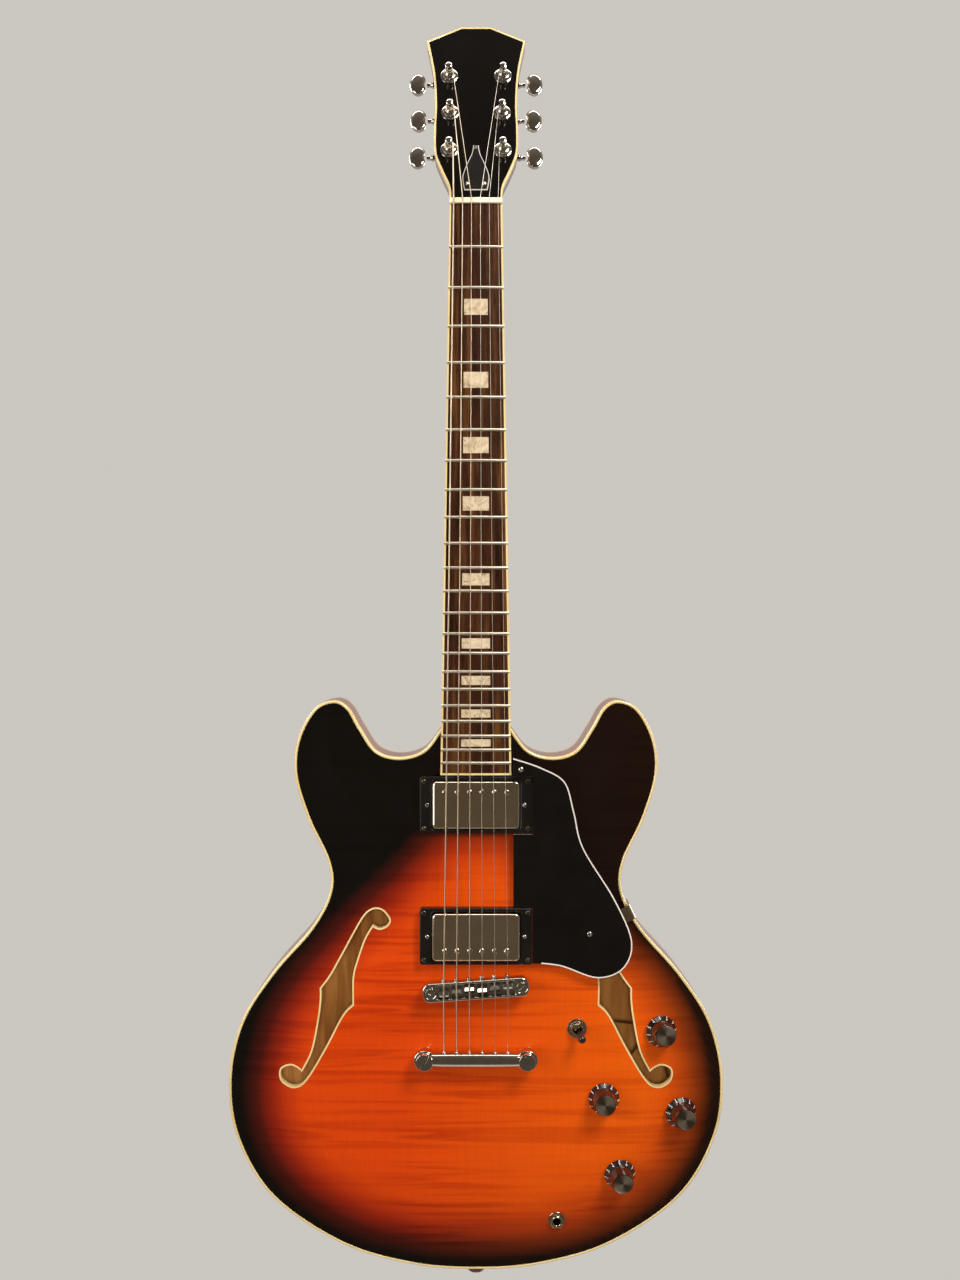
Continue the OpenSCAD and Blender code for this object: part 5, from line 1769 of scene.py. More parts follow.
@dataclass
class BridgeSet:
    """The bridge, its posts, saddles and screws, and the stop tailpiece."""

    span: float = 73.0
    width: float = 15.0
    height: float = 8.5
    low: float = -33.5
    channel: tuple[float, float] = (62.4, 10.8)
    tail_span: float = 82.0
    tail_z: float = -688.0
    tail_y: float = -36.5

    def build_body(self) -> None:
        """The cast bridge with its saddle channel."""
        top = self.low - self.height
        outline = rounded_box(self.span + 12, self.width, 6, 10)
        hole = rounded_box(*self.channel, 0.8, 2)
        posts = [circle(s * self.span / 2, 0, 4.3, 28) for s in (-1, 1)]
        shape = Shape()
        shape.slab(outline, top, self.low - 0.8, [hole, *posts], soft=0.9, place=LAYOUT.bridge)
        bores = [circle(s * self.span / 2, 0, 2.15, 20) for s in (-1, 1)]
        shape.slab(inset(outline, 0.02), self.low - 0.8, self.low, bores, place=LAYOUT.bridge)
        for s in (-1, 1):
            shape.slab(
                circle(s * self.span / 2, 0, 4.32, 28), top + 0.9, self.low - 0.8,
                [circle(s * self.span / 2, 0, 2.15, 28)], place=LAYOUT.bridge,
            )
        show(shape.build("bridge_casting", [CHROME], 34), "guitar", "chrome", "bridge_body")

    def slotted_disc(self, shape: Shape, place: Matrix, radius: float, height: float, slot: float) -> None:
        """A screw head with a slot across it, on the local Z axis."""
        half = slot / 2
        angle = math.asin(half / radius)
        for sign in (-1, 1):
            arc = [sign * (angle + (math.pi - 2 * angle) * k / 20) for k in range(21)]
            line = np.array([(radius * math.cos(a), radius * math.sin(a)) for a in arc])
            shape.slab(
                clockwise(line), -height, -height * 0.45, soft=min(0.35, height / 4), place=place @ INWARD
            )
        shape.revolve([(0, 0), (radius, 0), (radius, height * 0.5), (0, height * 0.5)], place, 40)

    def build_posts(self) -> None:
        """Threaded posts with milled height wheels and slotted tops."""
        shape = Shape()
        for s in (-1, 1):
            place = move(0, LAYOUT.flat, 0) @ LAYOUT.bridge @ move(s * self.span / 2, 0, 0) @ OUTWARD
            shape.revolve([(0, -22), (5.5, -22), (5.5, 0), (2, 0), (2, 2.9), (0, 2.9)], place)
            wheel = milled_rim(6.5, 0.22, 96)[::-1]
            shape.slab(wheel, -6.4, -3.0, place=place @ INWARD, soft=0.25, soft_back=0.25)
            shape.revolve([(0, 6.4), (2, 6.4), (2, 14.2), (0, 14.2)], place)
            self.slotted_disc(shape, place @ move(0, 0, 14.15) @ turn("Z", 35 * s), 3.95, 1.25, 0.9)
        show(shape.build("bridge_post_set", [CHROME], 34), "guitar", "chrome", "bridge_posts")

    def build_saddles(self) -> None:
        """Six saddles, each a wedge with a string notch, riding on its own body."""
        top = self.low - self.height
        for n in STRINGS:
            shape = Shape()
            peak = LAYOUT.bridge_y(n) - top
            half, reach = 3.8, 2.2
            wide = LAYOUT.gauges[n - 1] + 0.42
            deep = peak + LAYOUT.gauges[n - 1] + 1.1
            rows = []
            for x in (-half, -half + 0.3, -wide - 0.02, -wide, wide, wide + 0.02, half - 0.3, half):
                crest = deep if abs(x) <= wide else peak
                drop = 0.3 if abs(x) > half - 0.1 else 0.0
                rows.append(
                    np.array([
                        (x, 6.6, -reach), (x, 0.6 + drop, -reach), (x, crest + drop, -0.18),
                        (x, crest + drop, 0.18),
                        (x, 0.6 + drop, reach), (x, 6.6, reach),
                    ])
                )
            place = LAYOUT.bridge @ move(LAYOUT.string_x(n), top, LAYOUT.shifts[n - 1])
            shape.skin(rows, place=place)
            show(shape.build(f"saddle_wedge_{n}", [CHROME], 30), f"saddle_{n}", "chrome", f"saddle_{n}")

    def build_screws(self) -> None:
        """Adjusting screws that run through the bridge."""
        shape = Shape()
        y = self.low - self.height + 4
        for n in STRINGS:
            place = LAYOUT.bridge @ move(LAYOUT.string_x(n), y, 0)
            shape.revolve([(0, -7.6), (0.9, -7.6), (0.9, 7.6), (0, 7.6)], place, 16)
            self.slotted_disc(shape, place @ move(0, 0, 7.65) @ turn("Z", 40 * n), 1.85, 2.0, 0.5)
        show(shape.build("adjusting_screws", [CHROME], 34), "guitar", "chrome", "intonation_screws")

    def build_tailpiece(self) -> None:
        """The bar, fuller in the middle, between two round lugs open to the tail."""
        shape = Shape()
        rows = []
        for x in np.linspace(-35.2, 35.2, 41):
            share = abs(x) / 35.2
            top = 6.5 - 0.7 * share**6
            wide = 6.2 - 0.5 * share**4
            angles = np.linspace(0, 2 * math.pi, 33)[:-1]
            section = [
                (
                    x, self.tail_y - top * math.cos(a) * (1.0 if math.cos(a) > 0 else 0.86),
                    self.tail_z + wide * math.sin(a),
                ) for a in angles
            ]
            rows.append(np.array(section))
        shape.skin(rows)
        for s in (-1, 1):
            lug = rounded_box(17, 15, 7.2, 10) + (s * self.tail_span / 2, self.tail_z)
            slot = circle(s * self.tail_span / 2, self.tail_z, 4.1, 28)
            shape.slab(lug, self.tail_y - 3.6, self.tail_y + 3.6, [slot], soft=0.8, soft_back=0.8)
        for n in STRINGS:
            rim = [(1.15, -3.0), (1.9, -3.0), (1.9, 0.35), (1.6, 0.6), (1.15, 0.5), (1.15, -3.0)]
            shape.revolve(rim, move(LAYOUT.string_x(n), -36.6, self.tail_z + 5.9), 24, 0)
        show(shape.build("tail_bar", [CHROME], 36), "guitar", "chrome", "tailpiece")

    def build_studs(self) -> None:
        """The two studs that hold the tailpiece, with wide slotted heads."""
        shape = Shape()
        for s in (-1, 1):
            place = move(s * self.tail_span / 2, LAYOUT.flat, self.tail_z) @ OUTWARD
            shape.revolve(
                [
                    (0, -22), (5.5, -22), (5.5, 0), (6.4, 0.3), (6.8, 0.9), (6.8, 5.2), (6.4, 5.8),
                    (4, 5.8), (4, 13.2), (0, 13.2),
                ],
                place,
            )
            self.slotted_disc(shape, place @ move(0, 0, 13.2) @ turn("Z", 90 + 28 * s), 6.75, 5.1, 1.6)
        show(shape.build("tail_studs", [CHROME], 34), "guitar", "chrome", "tailpiece_studs")

    def build(self) -> None:
        """Builds the bridge and tailpiece."""
        self.build_body()
        self.build_posts()
        self.build_saddles()
        self.build_screws()
        self.build_tailpiece()
        self.build_studs()


# ---------------------------------------------------------------- tuners


@dataclass
class TunerSet:
    """Six tuners: housings, bushings, posts and worm-driven keys."""

    housing_y: float = 13.3
    wheel_y: float = 17.9
    worm_gap: float = 6.575
    teeth: int = 15
    shell: tuple[tuple[float, float], ...] = ((0.0, 0.0), (6.4, 0.0), (7.8, 0.5), (8.7, 1.5), (9.15, 3.2))
    hollow: tuple[tuple[float, float], ...] = ((8.3, 3.6), (7.9, 2.3), (7.2, 1.4), (6.2, 0.9), (0.0, 0.9))
    post_profile: tuple[tuple[float, float], ...] = (
        (0, 0), (2, 0), (2, 2), (3, 2), (3, 25.7), (3.7, 25.75), (4, 26.1), (4, 26.6), (3.8, 26.9),
        (2.4, 27.7),
        (2.4, 31.8), (2.6, 32.6), (3, 33.3), (3, 35.1), (2.7, 35.9), (2.0, 36.3), (0, 36.3),
    )

    def kidney(self) -> np.ndarray:
        """The finger button's outline, looking across it, its stalk at the origin."""
        points = []
        for a in np.linspace(0, 2 * math.pi, 49)[:-1]:
            reach = 10.4 if math.cos(a) > -0.2 else 9.9
            x = reach * math.sin(a)
            y = 7.6 * math.cos(a) + 8.2
            if math.cos(a) < 0:
                y += 2.6 * math.exp(-((x / 4.2) ** 2)) * -math.cos(a)
            points.append((x, y))
        return np.array(points)

    def build_key(self, number: int) -> None:
        """A key: worm, shaft, collar and kidney button."""
        place = LAYOUT.tuner(number) @ move(0, self.wheel_y, self.worm_gap) @ turn("Y", 90)
        shape = Shape()
        rows = []
        for k in range(85):
            h = -4 + 8 * k / 84
            angle = math.pi + 2 * math.pi * (h + 4) / 2
            ring = [
                (
                    0.5 * math.cos(angle) + 1.8 * math.cos(a), 0.5 * math.sin(angle) + 1.8 * math.sin(a), h
                ) for a in np.linspace(0, 2 * math.pi, 17)[:-1]
            ]
            rows.append(np.array(ring))
        shape.skin(rows, place=place)
        shape.revolve([(0, -6.5), (1.3, -6.5), (1.3, -4), (0, -4)], place, 24)
        shape.revolve(
            [(0, 4), (1.3, 4), (1.3, 9.2), (3.1, 9.2), (3.5, 9.6), (3.4, 10.4), (2.7, 11.2), (2.4, 12.6),
             (2.5, 13.6),
             (2.9, 14.1), (2.9, 14.7), (2.2, 15.3), (1.9, 16.8), (2.0, 19.4), (0, 19.6)], place, 32,
        )
        line = self.kidney()
        rows = []
        for across in np.linspace(-1, 1, 13):
            bulge = math.sqrt(max(0.0, 1 - across**2))
            pull = 2.5 * (1 - bulge**0.55)
            ring = np.array([(x * (1 - pull / 10), 0, (y - 8.2) * (1 - pull / 8) + 8.2) for x, y in line])
            ring[:, 1] = 2.55 * across
            rows.append(ring)
        start = place @ move(0, 0, 18.4)
        shape.skin(rows, place=start)
        piece = shape.build(f"key_{number}_set", [CHROME], 50)
        face_outwards(piece)
        show(piece, f"key_{number}", "chrome", f"tuner_{number}_key")

    def build_post(self, number: int) -> None:
        """A string post with its toothed wheel."""
        place = LAYOUT.tuner(number)
        shape = Shape()
        shape.revolve(self.post_profile, place @ move(0, self.wheel_y + 2.4, 0) @ OUTWARD, 32)
        rim = []
        for k in range(self.teeth):
            for turn_share, radius in (
                (-0.35, 4.1), (-0.14, 4.775), (-0.07, 5.09), (0.07, 5.09), (0.14, 4.775), (0.35, 4.1)
            ):
                angle = math.pi / 2 + 2 * math.pi * (k + turn_share * 0.42) / self.teeth
                rim.append((radius * math.cos(angle), radius * math.sin(angle)))
        shape.slab(np.array(rim)[::-1], self.wheel_y - 1.0, self.wheel_y + 1.0, place=place)
        piece = shape.build(f"post_{number}_set", [CHROME], 34)
        show(piece, f"post_{number}", "chrome", f"tuner_{number}_post")

    def build_bushings(self) -> None:
        """Threaded bushings with their washers on the face."""
        shape = Shape()
        for n in STRINGS:
            place = LAYOUT.tuner(n) @ OUTWARD
            shape.revolve(
                [(3.05, -13.0), (4.8, -13.0), (4.8, 1.52), (7.2, 1.52), (7.4, 1.75), (7.3, 2.2),
                 (6.9, 2.45), (5.9, 2.5),
                 (5.75, 2.9), (5.6, 4.2), (5.2, 4.9), (4.6, 5.2), (3.05, 5.2), (3.05, -13.0)], place, 40,
            )
        show(shape.build("bushing_set", [CHROME], 30), "guitar", "chrome", "tuner_bushings")

    def build_housings(self) -> None:
        """Die-cast housings: rounded shells, open to the wood."""
        shape = Shape()
        for n in STRINGS:
            place = LAYOUT.tuner(n) @ move(0, 0, 1.5)
            line = rounded_box(16, 19, 4.0, 6)
            rows = [at_depth(inset(line, pull), self.housing_y + deep) for deep, pull in self.shell]
            inner = [at_depth(inset(line, pull), self.housing_y + deep) for deep, pull in self.hollow]
            shape.skin(rows, capped=False, place=place)
            shape.add(rows[-1], [tuple(range(len(line)))], place)
            shape.skin(inner, capped=False, place=place)
            shape.add(inner[0], [tuple(reversed(range(len(line))))], place)
            shape.skin([inner[-1], rows[0]], capped=False, place=place)
            sleeve = LAYOUT.tuner(n) @ move(8, self.wheel_y, self.worm_gap) @ turn("Y", 90)
            shape.revolve(
                [(1.36, 0), (3.6, -0.4), (3.6, 0.6), (3.2, 0.95), (1.36, 0.95), (1.36, 0)], sleeve, 28
            )
        piece = shape.build("housing_set", [CHROME], 34)
        face_outwards(piece)
        show(piece, "guitar", "chrome", "tuner_housings")

    def build(self) -> None:
        """Builds all six tuners."""
        for number in STRINGS:
            self.build_key(number)
            self.build_post(number)
        self.build_bushings()
        self.build_housings()


# ---------------------------------------------------------------- controls


@dataclass
class ControlSet:
    """Knobs, pickup switch and output socket."""

    knobs: tuple[tuple[str, float, float], ...] = (
        ("neck_volume", 149, -669), ("neck_tone", 165, -735), ("bridge_volume", 103, -722), (
            "bridge_tone", 116, -784
        ),
    )
    switch: tuple[float, float] = (81.5, -666.0)
    jack: tuple[float, float] = (65.5, -824.0)
    tilt: float = 14.0
    throw_turn: float = 38.0

    def numerals(self, shape: Shape, place: Matrix, heading: float) -> None:
        """Numerals 0 to 10 and a tick by each, round the skirt."""
        for number in range(11):
            angle = math.radians(heading - 150 + 30 * number)
            text = bpy.data.curves.new("figure", "FONT")
            text.body = str(number)
            text.size = 3.6
            text.align_x = "CENTER"
            text.align_y = "CENTER"
            text.extrude = 0.03
            thing = bpy.data.objects.new("figure", text)
            bpy.context.scene.collection.objects.link(thing)
            bpy.context.view_layer.update()
            mesh = bpy.data.meshes.new_from_object(
                thing.evaluated_get(bpy.context.evaluated_depsgraph_get())
            )
            lean = math.degrees(math.atan2(4.0, 3.1))
            local = turn("Z", -math.degrees(angle)) @ move(0, 10.95, 6.35) @ turn("X", -lean)
            points = [tuple(v.co) for v in mesh.vertices]
            faces = [tuple(p.vertices) for p in mesh.polygons]
            if points:
                shape.add(points, faces, place @ local, 1)
            shape.bar(
                (0.45, 0.06, 1.3), 0.02,
                place @ turn(
                    "Z", -math.degrees(angle)
                ) @ move(0, 12.25, 4.35) @ turn("X", -lean) @ turn("X", 90),
                1,
            )
            bpy.data.objects.remove(thing)
            bpy.data.curves.remove(text)
            bpy.data.meshes.remove(mesh)

    def build_knob(self, name: str, x: float, z: float, heading: float) -> None:
        """A skirted knob with numerals and a spun cap, on its shaft."""
        place = BODY.on_top(x, z)
        shape = Shape()
        shape.revolve(
            [(3.05, 3.0), (11.6, 3.0), (12.3, 3.1), (12.5, 3.4), (12.45, 3.9), (12.1, 4.5), (9.4, 8.0),
             (9.15, 8.6),
             (8.95, 10.0), (8.45, 17.7), (8.3, 18.15), (7.95, 18.3), (7.9, 18.1), (3.05, 18.1),
             (3.05, 3.0)], place, 72,
        )
        self.numerals(shape, place, heading)
        shape.revolve(
            [(0, 18.12), (7.85, 18.12), (7.85, 18.4), (7.6, 18.5), (5.0, 18.46), (0, 18.42)], place, 64, 2
        )
        shape.revolve([(0, -13), (2.98, -13), (2.98, 10.8), (0, 10.8)], place, 24, 3)
        piece = shape.build(f"{name}_dial", [KNOB_BLACK, KNOB_WHITE, SPUN, NICKEL], 30)
        inverse = (Matrix.Scale(MM, 4) @ place).inverted()
        local = [inverse @ v.co for v in piece.data.vertices]
        paint_values(piece, "cap_x", [p.x / 8.0 for p in local])
        paint_values(piece, "cap_y", [p.y / 8.0 for p in local])
        show(piece, name, "black_plastic", f"{name}_knob")

    def build_switch(self) -> None:
        """The toggle: its lever and black tip on the moving body."""
        pivot = BODY.on_top(*self.switch) @ move(0, 0, -1)
        place = pivot @ turn("Z", self.throw_turn) @ turn("X", self.tilt)
        ball = [(3.34 * math.sin(a), -3.34 * math.cos(a)) for a in np.linspace(0.45, math.pi - 0.45, 14)]
        shape = Shape()
        shape.revolve(
            [(0, -8), (1.2, -8), (1.4, -7.6), *ball, (1.4, 7.0), (1.4, 11.0), (0, 11.0)], place, 32
        )
        show(shape.build("switch_stem", [NICKEL], 34), "switch", "chrome", "switch_lever")
        tip = Shape()
        dome = [
            (3.3 * math.sin(a), 18.2 - 3.3 * math.cos(a)) for a in np.linspace(math.pi * 0.62, math.pi, 12)
        ]
        tip.revolve(
            [(1.42, 8.2), (1.9, 8.2), (2.05, 8.5), (2.2, 11), (2.5, 14), (2.95, 16.6), *dome, ], place, 32
        )
        tip.revolve([(1.42, 11.3), (1.42, 8.2)], place, 32)
        show(tip.build("switch_cap", [TIP_BLACK], 40), "switch", "black_plastic", "switch_tip")

    def washer(
        self, shape: Shape, place: Matrix, low: float, high: float, outer: float, inner: float
    ) -> None:
        """A washer with softened rims."""
        soft = min(0.25, (high - low) / 3)
        shape.revolve(
            [
                (inner, low), (outer, low), (outer, high - soft), (outer - soft, high), (inner, high),
                (inner, low),
            ], place, 48
        )

    def hex_nut(
        self, shape: Shape, place: Matrix, low: float, high: float, corner: float, bore: float
    ) -> None:
        """A chamfered hexagonal nut."""
        line = circle(0, 0, corner, 6)
        shape.slab(line, -high, -low, [circle(0, 0, bore, 30)], soft=0.35, place=place @ INWARD, steps=2)

    def build_nuts(self) -> None:
        """Washers and nuts on the face, with the switch's milled ring."""
        shape = Shape()
        for _, x, z in self.knobs:
            place = BODY.on_top(x, z)
            self.washer(shape, place, 0.5, 1.0, 7.2, 4.7)
            self.hex_nut(shape, place, 1.02, 2.32, 6.4, 4.7)
        place = BODY.on_top(*self.switch)
        self.washer(shape, place, 0.3, 1.1, 8.0, 5.0)
        rim = milled_rim(6.6, 0.2, 72)
        shape.slab(rim[::-1], -3.72, -1.12, [circle(0, 0, 5.02, 36)], soft=0.3, place=place @ INWARD)
        place = BODY.on_top(*self.jack)
        self.washer(shape, place, 0.5, 1.0, 7.0, 4.7)
        self.hex_nut(shape, place, 1.02, 3.02, 6.4, 4.7)
        show(shape.build("panel_nut_set", [NICKEL], 30), "guitar", "chrome", "panel_nuts")

    def build_socket(self) -> None:
        """The output socket's threaded barrel, with its bore."""
        place = BODY.on_top(*self.jack)
        shape = Shape()
        shape.revolve(
            [(0, -29), (7.6, -29), (8, -28.6), (8, -6.4), (7.6, -6), (4.65, -6), (4.65, 3.3), (4.3, 3.7),
             (3.4, 3.7),
             (3.2, 3.5), (3.2, -27), (0, -27)], place, 48,
        )
        show(shape.build("socket_barrel", [NICKEL], 30), "guitar", "nickel", "output_jack")

    def build_switch_body(self) -> None:
        """The switch's threaded neck and its frame inside."""
        place = BODY.on_top(*self.switch)
        shape = Shape()
        shape.revolve(
            [(3.45, -6), (4.95, -6), (4.95, 4.6), (4.6, 5.0), (3.7, 5.0), (3.45, 4.7), (3.45, -6)], place,
            40,
        )
        shape.slab(
            rounded_box(18, 28, 1.5), 6.0, 8.0, [circle(0, 0, 3.5, 30)],
            place=place @ turn("Z", self.throw_turn) @ INWARD,
        )
        for sx in (-1, 1):
            shape.bar(
                (2, 19, 26), 0.4, place @ turn("Z", self.throw_turn) @ move(sx * 7.8, 0, -17.4) @ INWARD
            )
        show(shape.build("switch_frame", [NICKEL], 30), "guitar", "nickel", "switch_body")

    def build(self) -> None:
        """Builds the controls."""
        for number, (name, x, z) in enumerate(self.knobs):
            self.build_knob(name, x, z, (-8.0, 6.0, 2.0, -5.0)[number])
        self.build_switch()
        self.build_nuts()
        self.build_socket()
        self.build_switch_body()
        dress("potentiometers", NICKEL)


# ---------------------------------------------------------------- guard, strings, buttons


@dataclass
class Guard:
    """The pickguard with its white outer line, and its side bracket."""

    top: float = -33.5
    thickness: float = 2.5
    plies: tuple[float, float] = (0.45, 0.75)
    knots: tuple[tuple[float, float], ...] = (
        (30, -447), (52, -454.5), (71, -466), (78.5, -490), (86, -519), (111, -560), (125, -594),
        (118, -616),
        (97, -623.5), (68, -614), (46, -611.5),
    )

    def outline(self) -> np.ndarray:
        """The guard's outline with both pickup frames cut out of its edge."""
        curve = spline(self.knots, 8)
        near, gap = 30.0, 45.4
        points = [tuple(p) for p in curve if not (p[0] < gap and p[1] < -560)]
        for z in reversed(LAYOUT.pickup_zs):
            low, high = z - 23.15, z + 23.15
            if z != LAYOUT.pickup_zs[1]:
                points.append((near, low))
            points += [(gap, low), (gap, high), (near, high)]
        return np.array(points)

    def build(self) -> None:
        """Builds the guard and the bracket."""
        line = clockwise(self.outline())
        upper, lower = (self.top + self.thickness * share for share in self.plies)
        shape = Shape()
        shape.slab(line, self.top, upper)
        shape.slab(line, upper, lower, slot=1)
        shape.slab(line, lower, self.top + self.thickness)
        keep = spline(self.knots, 8)[:-3]
        inner = []
        for k, p in enumerate(keep):
            ahead = keep[min(k + 1, len(keep) - 1)] - keep[max(k - 1, 0)]
            ahead = ahead / np.linalg.norm(ahead)
            inner.append(p + np.array([ahead[1], -ahead[0]]) * 1.0)
        rows = []
        for (ox, oz), (ix, iz) in zip(keep, inner):
            rows.append(
                np.array(
                    [
                        (ox, self.top + 0.5, oz), (ox, self.top - 0.02, oz), (ix, self.top - 0.03, iz),
                        (ix, self.top + 0.5, iz),
                    ]
                )
            )
        shape.skin(rows, slot=1)
        piece = shape.build("guard_plate", [GUARD_BLACK, GUARD_WHITE], 30)
        show(piece, "guitar", "black_gloss", "pickguard")
        bracket = Shape()
        y = self.top + self.thickness + 0.1
        place = move(124.4, y, -571.2) @ turn("Y", -25.5)
        path = [(-24, 0.6), (-2.2, 0.6), (-0.4, 0.8), (0.8, 1.8), (1.2, 3.6), (1.2, 22.0)]
        rows = []
        for k, (x, deep) in enumerate(path):
            before, after = path[max(k - 1, 0)], path[min(k + 1, len(path) - 1)]
            along = Vector((after[0] - before[0], after[1] - before[1])).normalized()
            out = Vector((along.y, -along.x)) * 0.58
            corners = ((out, -6.0), (out, 6.0), (-out, 6.0), (-out, -6.0))
            rows.append(np.array([(x + o.x, deep + o.y, z) for o, z in corners]))
        bracket.skin(rows, place=place)
        strip = bracket.build("guard_bracket", [NICKEL], 40)
        face_outwards(strip)
        show(strip, "guitar", "chrome", "pickguard_bracket")


@dataclass
class StringSet:
    """Six strings from tailpiece to post, three wound and three plain."""

    coil_y: float = -10.2
    turns: tuple[float, ...] = (2.6, 2.6, 3.0, 3.4, 4.0, 4.4)

    def line(self, number: int) -> np.ndarray:
        """The centre line of a string, turns included."""
        radius = LAYOUT.gauges[number - 1]
        x = LAYOUT.string_x(number)
        z = LAYOUT.shifts[number - 1] + LAYOUT.bridge_z + x * math.tan(math.radians(LAYOUT.bridge_slant))
        nut_x = LAYOUT.across(number) * LAYOUT.nut_spread
        nut_y = -LAYOUT.nut_top + LAYOUT.crown(nut_x)
        points = [
            Vector((x, -36.0, -694.0)), Vector((x, -36.0, -680.0)), Vector((x, LAYOUT.bridge_y(number), z))
        ]
        points += [LAYOUT.neck @ Vector((nut_x, nut_y, 0)), LAYOUT.neck @ Vector((nut_x, nut_y, 4.7))]
        side = -1 if number <= 3 else 1
        row = number - 1 if number <= 3 else 6 - number
        post = Vector((side * LAYOUT.tuner_xs[row], self.coil_y, LAYOUT.tuner_zs[row]))
        wrap = 2.55 + radius
        for k in range(int(self.turns[number - 1] * 20) + 1):
            angle = 2 * math.pi * k / 20
            rise = min(k / 20 * 1.9 * radius, 2.6)
            spot = post + Vector((-side * wrap * math.cos(angle), rise, wrap * math.sin(angle)))
            points.append(LAYOUT.head @ spot)
        return np.array([tuple(p) for p in points])

    def build(self) -> None:
        """Draws the strings with the wire tree."""
        tree = wire_tree()
        wound = [(self.line(n), LAYOUT.gauges[n - 1]) for n in (1, 2, 3)]
        plain = [(self.line(n), LAYOUT.gauges[n - 1]) for n in (4, 5, 6)]
        heavy = tree.run(
            "wound_strings", lines_mesh("wound_lines", wound), {"Sides": 10, "Material": WOUND.make()}, 60
        )
        light = tree.run(
            "plain_strings", lines_mesh("plain_lines", plain), {"Sides": 8, "Material": PLAIN.make()}, 60
        )
        show(heavy, "guitar", "string_steel", "strings")
        show(light, "guitar", "string_steel")


@dataclass
class StrapButtons:
    """The two strap buttons."""

    profile: tuple[tuple[float, float], ...] = (
        (1.7, 0), (6.1, 0), (6.4, 0.3), (6.3, 1.1), (5.2, 1.9), (4.4, 2.6), (4.0, 3.2), (4.0, 6.4),
        (4.4, 6.9),
        (5.4, 7.5), (6.6, 8.2), (7.0, 8.8), (7.0, 9.6), (6.6, 10.1), (3.6, 10.2), (3.2, 10.0), (3.2, 8.25),
        (1.7, 8.2), (1.7, 0),
    )

    def build(self) -> None:
        """Builds both buttons."""
        shape = Shape()
        shape.revolve(self.profile, move(0, 2, -867.1) @ turn("X", 180), 40)
        shape.revolve(self.profile, move(0, 16.1, -413.5) @ INWARD, 40)
        show(shape.build("button_pair", [CHROME], 30), "guitar", "chrome", "strap_buttons")


# ---------------------------------------------------------------- studio


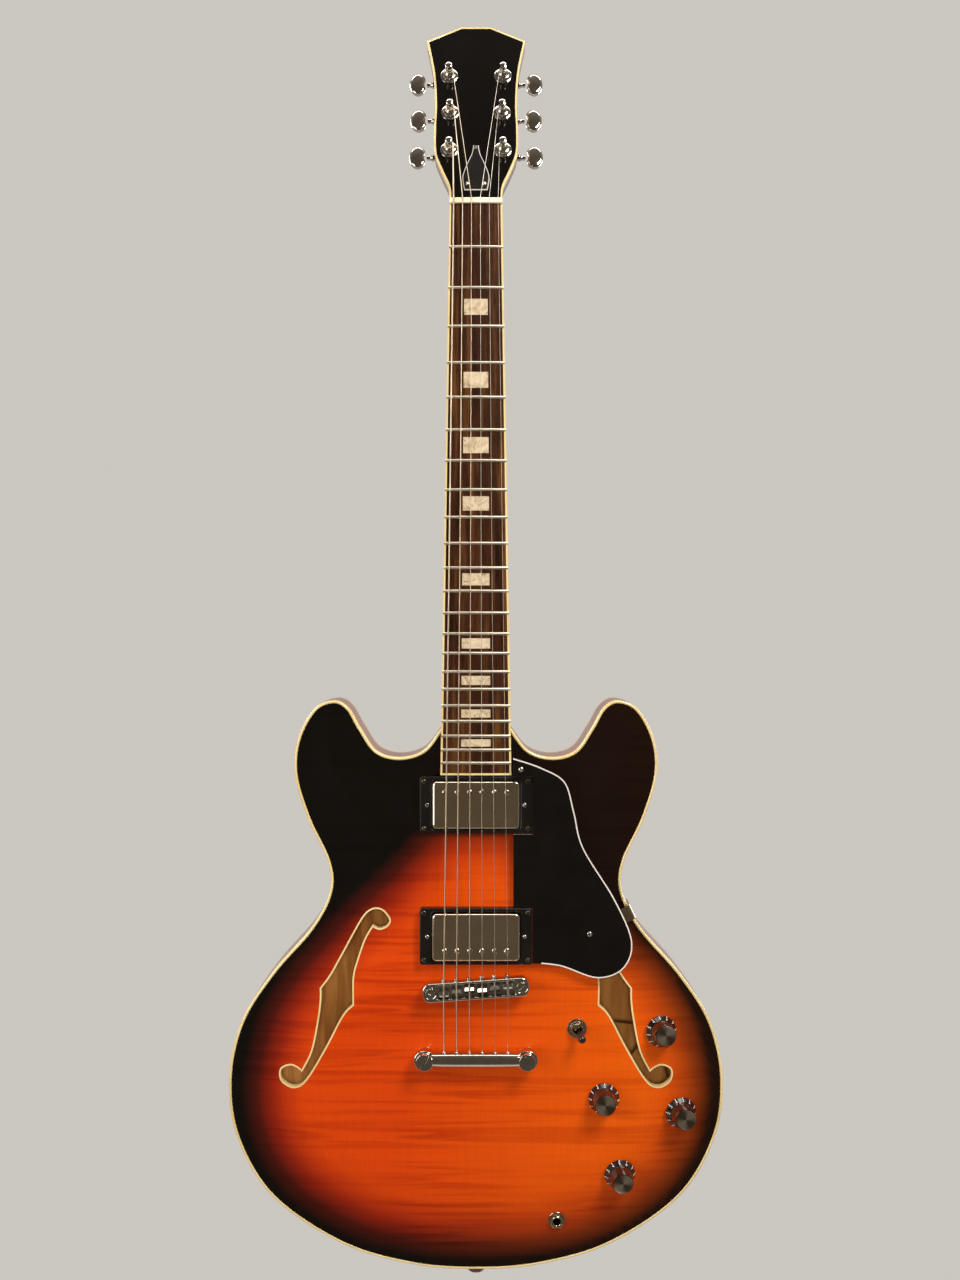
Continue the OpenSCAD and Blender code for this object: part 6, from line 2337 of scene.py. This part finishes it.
@dataclass
class Studio:
    """The floor, the lights, the backdrop and the camera."""

    eye: tuple[float, float, float] = (3.3, -1064.3, -327.5)
    dip: float = 1.4
    focal: float = 1296.4
    image_height: int = 1280
    floor: float = -1.5
    floor_profile: tuple[tuple[float, float], ...] = (
        (0.01, 0), (710, 0), (735, -5), (745, -20), (0.01, -20), (0.01, 0)
    )
    backdrop: Colour = (0.60, 0.575, 0.53)
    warmth: Colour = (1.0, 0.94, 0.85)

    def build_floor(self) -> None:
        """A round pale floor with an eased edge, well under the guitar."""
        shape = Shape()
        shape.revolve(self.floor_profile, move(0, 300, self.floor / MM), 96)
        shape.build("floor", [FLOOR], 60)

    def light(
        self, name: str, place: Sequence[float], aim: Sequence[float], size: Sequence[float], power: float,
        mirrored_in_gloss: bool = True,
    ) -> None:
        """A soft, warm rectangular light that looks at a point.

        Args:
            name: The light's name.
            place: Where it stands, in metres.
            aim: The point that it looks at.
            size: Its width and height.
            power: Its power in watts.
            mirrored_in_gloss: False to keep its outline out of the lacquer.
        """
        lamp = bpy.data.lights.new(name, "AREA")
        lamp.shape = "RECTANGLE"
        lamp.size, lamp.size_y = size
        lamp.energy = power
        lamp.color = self.warmth
        thing = bpy.data.objects.new(name, lamp)
        bpy.context.scene.collection.objects.link(thing)
        thing.location = place
        thing.rotation_euler = (Vector(aim) - Vector(place)).to_track_quat("-Z", "Y").to_euler()
        thing.visible_glossy = mirrored_in_gloss

    def build_sky(self) -> None:
        """A dim room in front, paler to the sides and behind, and a plain pale backdrop to the eye."""
        world = bpy.data.worlds.new("studio")
        bpy.context.scene.world = world
        world.use_nodes = True
        nodes, links = world.node_tree.nodes, world.node_tree.links
        way = nodes.new("ShaderNodeTexCoord")
        parts = nodes.new("ShaderNodeSeparateXYZ")
        share = nodes.new("ShaderNodeMapRange")
        ramp = nodes.new("ShaderNodeValToRGB")
        share.inputs[1].default_value = -1.0
        share.inputs[2].default_value = 1.0
        stops = (
            (0.0, (0.095, 0.075, 0.053, 1)), (0.20, (0.105, 0.083, 0.06, 1)), (0.55, (0.42, 0.38, 0.34, 1))
        )
        ramp.color_ramp.elements.new(0.5)
        for element, (position, colour) in zip(ramp.color_ramp.elements, stops):
            element.position = position
            element.color = colour
        links.new(way.outputs["Generated"], parts.inputs[0])
        links.new(parts.outputs["Y"], share.inputs[0])
        links.new(share.outputs[0], ramp.inputs[0])
        seen = nodes.new("ShaderNodeLightPath")
        choice = nodes.new("ShaderNodeMix")
        choice.data_type = "RGBA"
        choice.inputs[7].default_value = (*self.backdrop, 1)
        links.new(seen.outputs["Is Camera Ray"], choice.inputs[0])
        links.new(ramp.outputs[0], choice.inputs[6])
        links.new(choice.outputs[2], nodes["Background"].inputs[0])

    def build(self) -> None:
        """Sets up the studio."""
        self.build_floor()
        self.light("key", (0.85, -1.25, 0.95), (0, 0, -0.45), (0.7, 0.7), 34)
        self.light("fill", (-1.3, -1.2, -0.2), (0, 0, -0.5), (0.8, 1.4), 14)
        self.light("front", (0.0, -1.3, -0.28), (0, 0, -0.5), (0.14, 0.14), 5.5, False)
        self.light("top", (0.0, -0.1, 1.7), (0, 0.1, -0.3), (2.0, 0.5), 18)
        self.light("back_left", (-1.5, 1.2, 0.5), (0, 0, -0.5), (0.6, 1.2), 26)
        self.light("back_right", (1.5, 1.3, -0.1), (0, 0, -0.5), (0.6, 1.2), 18)
        self.build_sky()
        bpy.context.scene.view_settings.view_transform = "Standard"
        lens = bpy.data.cameras.new("camera")
        lens.sensor_fit = "VERTICAL"
        lens.sensor_height = 36.0
        lens.lens = 36.0 * self.focal / self.image_height
        lens.clip_start = 0.02
        thing = bpy.data.objects.new("camera", lens)
        bpy.context.scene.collection.objects.link(thing)
        dip = math.radians(self.dip)
        up = Vector((0, math.sin(dip), math.cos(dip)))
        back = Vector((0, -math.cos(dip), math.sin(dip)))
        pose = Matrix((Vector((1, 0, 0)), up, back)).transposed().to_4x4()
        pose.translation = Vector(self.eye) * MM
        thing.matrix_world = pose
        bpy.context.scene.camera = thing


def main() -> None:
    """Builds the guitar and its studio, in order."""
    logging.basicConfig(level=logging.INFO, format="%(name)s %(message)s")
    Studio().build()
    for part in (
        SoundBox(), NeckAssembly(), PickupSet(), ScrewSets(), BridgeSet(), TunerSet(), ControlSet(),
        Guard(),
        StringSet(), StrapButtons(),
    ):
        LOG.info("building %s", type(part).__name__)
        part.build()
    dress("wiring", WIRE_BROWN)


if __name__ == "__main__":
    main()
